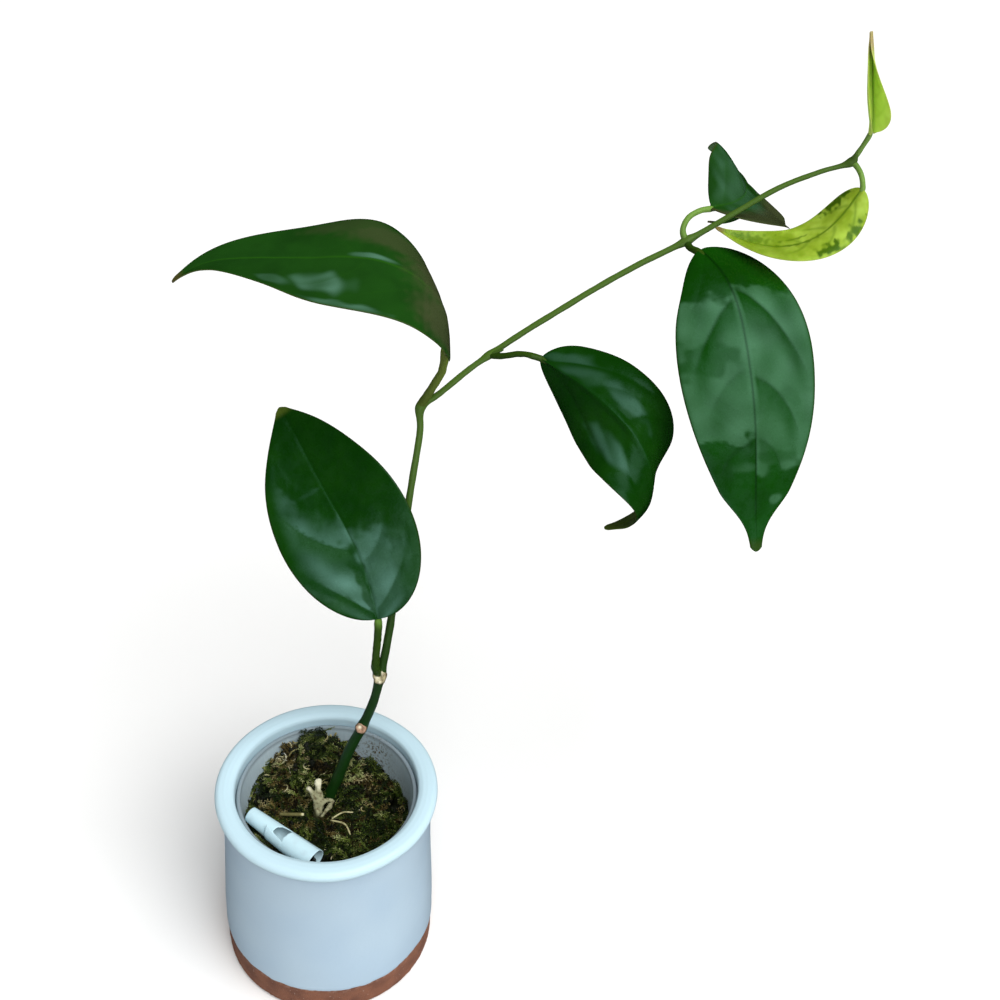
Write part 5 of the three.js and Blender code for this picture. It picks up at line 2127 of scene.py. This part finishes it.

# Each leaf lists where its painted sheen, a painted reflection, lies and where it is taken away
LEAVES = (
    Leaf(
        node="leaf_lower_left", base=(20.6, 9.7, 190.5), length=94.0, half_width=27.0,
        heading=(127, 136, 140, 134, 133), pitch=(66, 58, 44, 41, 29),
        roll=(-30, -35, -42, -38, -37), fold=((6, 7), (8, 8)), curl=((2, 1), (4, 3)), widest=0.43,
        taper=0.96, tip=0.07,
        stalk=(
            (20.9, 11.5, 158), (19.8, 9.5, 163), (19.9, 9.6, 170), (20.4, 9.7, 178),
            (20.7, 9.8, 185)
        ),
        stalk_radius=(1.75, 1.4), finish=DARK_WAX, stalk_finish=OLIVE_STALK,
        veins=(
            *rows_of(
                Side.LEFT, (0.03, 0.3, 0.88), (0.33, 0.60, 0.8, 1.2), (0.50, 0.70, 0.75, 0.7),
                (0.61, 0.78, 0.65, 0.6)
            ),
            *rows_of(
                Side.RIGHT, (0.05, 0.34, 0.88, 0.6), (0.27, 0.50, 0.8, 0.6),
                (0.46, 0.66, 0.75, 0.8), (0.60, 0.76, 0.65, 0.7)
            )
        ),
        sheen_bands=(
            SheenBand(Side.LEFT, (-0.1, 0.0, 0.9), (0.03, 0.3, 0.88), 0.18),
            SheenBand(Side.LEFT, (0.03, 0.3, 0.88), (0.33, 0.60, 0.8), 0.42, (1, 1)),
            SheenBand(Side.LEFT, (0.33, 0.6, 0.8), (0.44, 0.7, 0.8), 0.5, (0.6, 5)),
            SheenBand(Side.RIGHT, (-0.1, 0.0, 0.9), (0.4, 0.3, 0.8), 0.4, (2, 3))
        ),
        painted_sheen=(Patch(0.62, 0.26, 0.01, 0.18, 0.14),),
        sheen_gaps=(
            Patch(0.16, 0.09, 0.2, 0.1, 0.9), Patch(0.27, -0.62, 0.1, 0.13, 0.6),
            Patch(0.12, -0.6, 0.05, 0.2, 0.3)
        ),
        relief=0.6, shaded=-1.0, shade_run=8.5, hem=(0.92, 0.5), knob=0.8, seed=71
    ),
    Leaf(
        node="leaf_upper_left", base=(42.4, 40.4, 297.6), length=127.0, half_width=26.0,
        heading=(163, 173, 177, 170, 175, 185, 204), pitch=(97, 60, 19, -11, -7, -9, -35),
        roll=(35, 6, -12, -21, -17, -15, -4), fold=((-10, 7), (-6, -8)), curl=((-3, 36), (-29, 3)),
        widest=0.35, taper=1.13, tip=0.07,
        stalk=((33, 42, 273), (35.5, 41.5, 278.5), (38.3, 41, 284.5), (40.5, 40.6, 290)),
        stalk_radius=(1.6, 1.5), finish=BROWNED_WAX, stalk_finish=BROWNED_STALK,
        veins=pairs((0.06, 0.3, 0.8), (0.24, 0.44, 0.75), (0.42, 0.6, 0.7), depth=0.35),
        flush=(
            Patch(0.12, -0.4, 0.2, 0.7, 0.95), Patch(0.1, 0.4, 0.15, 0.5, 0.9),
            Patch(0.34, -0.6, 0.18, 0.28, 0.7), Patch(0.5, -0.8, 0.14, 0.2, 0.45)
        ),
        painted_sheen=(
            Patch(0.4, -0.06, 0.07, 0.05, 0.4), Patch(0.53, 0.55, 0.09, 0.2, 0.38),
            Patch(0.67, 0.7, 0.06, 0.14, 0.2), Patch(0.44, 0.95, 0.12, 0.07, 0.3)
        ),
        seed=81
    ),
    Leaf(
        node="leaf_middle", base=(76.6, 41.7, 297.6), length=99.0, half_width=20.2,
        heading=(-34, -38, -36, -34, -34, -26, -20, 3),
        pitch=(-9, -6, -20, -32, -60, -88, -128, -164), roll=(59, 44, 38, 29, 7, -16, -8, -4),
        fold=((-17, -6), (-31, -14)), curl=((-18, 22), (-25, 2)), widest=0.39, taper=1.21,
        tip=0.085, stalk=((57.7, 49, 293), (61.5, 47, 294.1), (69, 44, 297.6), (73.3, 42.5, 298.1)),
        stalk_radius=(1.2, 1.1), finish=DARK_WAX, stalk_finish=OLIVE_STALK,
        veins=(
            *rows_of(
                Side.LEFT, (0.02, 0.42, 0.88), (0.22, 0.44, 0.7, 0.5), (0.41, 0.5, 0.9, 1.2),
                (0.58, 0.72, 0.7, 0.6)
            ),
            *rows_of(
                Side.RIGHT, (0.03, 0.48, 0.78), (0.24, 0.5, 0.6, 0.6), (0.42, 0.68, 0.6),
                (0.6, 0.76, 0.6, 0.6)
            )
        ),
        painted_sheen=(
            Patch(0.12, 0.35, 0.13, 0.3, 0.16), Patch(0.35, 0.36, 0.11, 0.16, 0.25),
            Patch(0.45, -0.5, 0.13, 0.2, 0.25)
        ),
        seed=91, tip_share=0.8
    ),
    Leaf(
        node="leaf_hanging", base=(130.4, 58, 338.3), length=115.0, half_width=25.2,
        heading=(-44, -66, -69, -76, -78), pitch=(-13, -42, -57, -64, -56), roll=(-7, -3, 1, 4, 5),
        fold=((9, -14), (-17, -2)), curl=((-1, 14), (-27, -2)), widest=0.4, taper=1.05, tip=0.085,
        drip=0.45, stalk=((126, 65.5, 337.5), (127.1, 63.3, 336.5), (128.6, 60.5, 336.8)),
        stalk_radius=(1.3, 1.25), finish=MID_WAX, stalk_finish=OLIVE_STALK,
        veins=(
            *rows_of(
                Side.LEFT, (0.03, 0.22, 0.8, 0.5), (0.17, 0.46, 0.88, 1.3), (0.45, 0.64, 0.8, 1.1),
                (0.64, 0.78, 0.7, 0.7)
            ),
            *rows_of(
                Side.RIGHT, (0.03, 0.22, 0.8, 0.5), (0.2, 0.42, 0.8, 1.1), (0.42, 0.56, 0.7, 0.5),
                (0.655, 0.775, 0.85, 1.2)
            )
        ),
        sheen_bands=(
            SheenBand(Side.LEFT, (0.18, 0.21, 1.0), (0.75, 0.73, 0.9), 0.28, (1, 2)),
            SheenBand(Side.RIGHT, (0.19, 0.15, 0.9), (0.64, 0.65, 0.9), 0.28, (2, 1))
        ),
        painted_sheen=(Patch(0.73, -0.3, 0.018, 0.3, 0.24), Patch(0.835, 0.66, 0.016, 0.2, 0.3)),
        sheen_gaps=(
            Patch(0.385, -0.6, 0.05, 0.5, 0.7), Patch(0.52, 0.55, 0.03, 0.3, 0.3),
            Patch(0.7, 0.45, 0.025, 0.35, 0.5)
        ),
        relief=0.6, shade_run=7.0, seed=101
    ),
    Leaf(
        node="leaf_behind", base=(134.5, 75.5, 346.8), length=83.0, half_width=21.6,
        heading=(26, 56, 82, 81, 48, 8, -6), pitch=(-3, -4, -9, -20, -54, -138, -186),
        roll=(16, 26, 39, 26, 19, 14, 9), fold=((29, 13), (13, -21)), curl=((-26, -29), (17, -30)),
        widest=0.31, taper=1.22, tip=0.1,
        stalk=(
            (126, 65.5, 337.5), (124.6, 67, 340), (124.9, 69, 342.6), (126.7, 71, 344.7),
            (130.4, 73.5, 346)
        ),
        stalk_radius=(1.1, 1.05), finish=BROWNED_WAX, stalk_finish=PALE_STALK,
        veins=pairs((0.06, 0.3, 0.8), (0.24, 0.44, 0.75), (0.42, 0.6, 0.7), depth=0.4),
        flush=(Patch(0.3, -0.8, 0.5, 0.45),), painted_sheen=(Patch(0.22, 0.2, 0.16, 0.7, 0.16),),
        thickness=0.9, seed=111, tip_share=0.97
    ),
    Leaf(
        node="young_leaf_curled", base=(185.1, 67.5, 362), length=60.5, half_width=10.1,
        heading=(213, 211, 196, 176, 170, 173), pitch=(-57, -46, -27, -8, 10, 23),
        roll=(-20, -6, 0, 3, -3, -18), fold=((-5, 21), (-12, 34)), curl=((-51, -38), (-21, 28)),
        widest=0.33, taper=1.27, tip=0.09,
        stalk=((181, 74, 369), (182.8, 72.4, 367.9), (184.3, 70.4, 366.1), (185, 68.8, 364.2)),
        stalk_radius=(1.0, 0.95), finish=LIME_SKIN, stalk_finish=PALE_STALK, slot="young_leaf",
        veins=pairs((0.08, 0.26, 0.8), (0.26, 0.42, 0.75), (0.44, 0.58, 0.7), depth=0.6),
        mottle=(
            Patch(0.14, -0.78, 0.1, 0.26, 0.95), Patch(0.21, 0.82, 0.06, 0.22, 0.9),
            Patch(0.36, 0.78, 0.07, 0.2, 0.95), Patch(0.6, 0.02, 0.2, 0.09, 0.8),
            Patch(0.78, -0.3, 0.12, 0.35, 0.7), Patch(0.5, -0.35, 0.08, 0.05, 0.6)
        ),
        flush=(Patch(0.85, 0.1, 0.36, 1.4, 0.55),), shown=0.9, thickness=0.7, relief=0.5, seed=121,
        tip_share=0.93, rows=130, columns=30
    ),
    Leaf(
        node="youngest_leaf", base=(185.4, 73.2, 380.7), length=34.0, half_width=7.9,
        heading=(158, 139, 123, 105), pitch=(82, 74, 72, 56), roll=(-48, -52, -61, -79),
        fold=((38, 75), (39, 48)), curl=((46, 58), (27, 33)), widest=0.28, taper=1.22, tip=0.14,
        stalk=((181, 74, 369), (182.2, 74, 371.8), (183.4, 74, 374.8), (184.5, 73.7, 378)),
        stalk_radius=(0.95, 0.85), finish=BRIGHT_SKIN, stalk_finish=PALE_STALK, slot="young_leaf",
        veins=pairs((0.12, 0.3, 0.8), (0.32, 0.46, 0.7), depth=0.5), thickness=0.6, relief=0.4,
        seed=131, tip_share=0.7, rows=110, columns=26
    )
)


# Floor, light and camera


@dataclass(frozen=True)
class Window:
    """A bright rectangle that the wax and the glaze mirror.

    Its azimuth is its direction from the plant in degrees from +Y towards +X.
    """

    name: str
    azimuth: float
    elevation: float
    distance: float
    width: float
    height: float
    radiance: float

    def power(self) -> float:
        """Power in watts: pi times the radiance times the area."""
        return math.pi * self.radiance * self.width * self.height * MM**2


@dataclass(frozen=True)
class Sun:
    """A wide distant light: its name, direction in degrees, apparent width and strength."""

    name: str
    azimuth: float
    elevation: float
    width: float
    strength: float
    distance: float = 3000.0


@dataclass
class Studio:
    """The pale floor, the soft lights and the camera.

    Attributes:
        pitch: How far it looks down, in degrees.
        roll: How far it is turned about its own line of sight, in degrees.
        lens: Its focal length for a sensor 36 mm wide.
        target: What the lights face.
        fill: Strength of the even light from all round.
        reach: How far the floor reaches each way, in metres.
    """

    camera_at: Point = (65.5, -392.6, 573.1)
    pitch: float = 38.3
    roll: float = 4.29
    lens: float = 50.0
    target: Point = (80.0, 30.0, 180.0)
    windows: tuple[Window, ...] = (
        Window("high_window", 142.0, 48.0, 900.0, 850.0, 700.0, 2.0),
        Window("low_window", 176.0, 3.0, 900.0, 640.0, 220.0, 3.2)
    )
    sun: Sun = Sun("key_light", 138.0, 61.0, 50.0, 3.55)
    fill: float = 0.25
    reach: float = 4.0

    def camera(self) -> None:
        """Sets the camera at the photograph's angle."""
        pitch, roll = math.radians(self.pitch), math.radians(self.roll)
        forward = Vector((0.0, math.cos(pitch), -math.sin(pitch)))
        right = Vector((1.0, 0.0, 0.0))
        up = right.cross(forward)
        turned_right = right * math.cos(roll) + up * math.sin(roll)
        turned_up = up * math.cos(roll) - right * math.sin(roll)
        data = bpy.data.cameras.new("camera")
        data.lens = self.lens
        data.sensor_width = 36.0
        camera = linked(bpy.data.objects.new("camera", data))
        matrix = Matrix((turned_right, turned_up, -forward)).transposed().to_4x4()
        matrix.translation = Vector(self.camera_at) * MM
        camera.matrix_world = matrix
        bpy.context.scene.camera = camera

    def lamp(self, data: bpy.types.Light, source: Window | Sun) -> Piece:
        """Hangs a light so that it faces the plant, unseen by the camera itself.

        Args:
            data: The light.
            source: What says where it hangs.

        Returns:
            The hung light.
        """
        azimuth, elevation = math.radians(source.azimuth), math.radians(source.elevation)
        level = math.cos(elevation)
        away = Vector((level * math.sin(azimuth), level * math.cos(azimuth), math.sin(elevation)))
        lamp = linked(bpy.data.objects.new(data.name, data))
        lamp.location = (Vector(self.target) + away * source.distance) * MM
        lamp.rotation_euler = away.to_track_quat("Z", "Y").to_euler()
        lamp.visible_camera = False
        return lamp

    def light(self) -> None:
        """Adds the windows, which only reflections show, and the sun, which none show."""
        for window in self.windows:
            data = bpy.data.lights.new(window.name, "AREA")
            data.shape = "RECTANGLE"
            data.size = window.width * MM
            data.size_y = window.height * MM
            data.energy = window.power()
            self.lamp(data, window).visible_diffuse = False
        data = bpy.data.lights.new(self.sun.name, "SUN")
        data.angle = math.radians(self.sun.width)
        data.energy = self.sun.strength
        self.lamp(data, self.sun).visible_glossy = False

    def floor(self) -> None:
        """Adds the pale floor under the pot."""
        signs = ((-1, -1), (1, -1), (1, 1), (-1, 1))
        mesh = bpy.data.meshes.new("floor")
        corners = [(self.reach * x, self.reach * y, 0.0) for x, y in signs]
        mesh.from_pydata(corners, [], [(0, 1, 2, 3)])
        mesh.materials.append(FloorFinish("pale_floor").material())
        floor = linked(bpy.data.objects.new("floor", mesh))
        floor.visible_glossy = False

    def sky(self) -> None:
        """Sets a dim even fill light from all round."""
        world = bpy.data.worlds.new("fill")
        world.use_nodes = True
        background = world.node_tree.nodes["Background"]
        background.inputs["Color"].default_value = colour("#ffffff")
        background.inputs["Strength"].default_value = self.fill
        world.cycles_visibility.glossy = False
        bpy.context.scene.world = world

    def build(self) -> None:
        """Builds the floor, the lights and the camera."""
        self.camera()
        self.floor()
        self.sky()
        self.light()
        bpy.context.scene.view_settings.view_transform = "Standard"
        log.info("studio: %d windows", len(self.windows))


def main() -> None:
    """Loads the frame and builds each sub-assembly in order."""
    logging.basicConfig(level=logging.INFO, format="%(name)s: %(message)s")
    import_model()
    Studio().build()
    CeramicPot().build()
    NurseryPot().build()
    Moss().build()
    DryRoot().build()
    PlantLabel().build()
    Stem().build()
    for leaf in LEAVES:
        leaf.build()


if __name__ == "__main__":
    main()
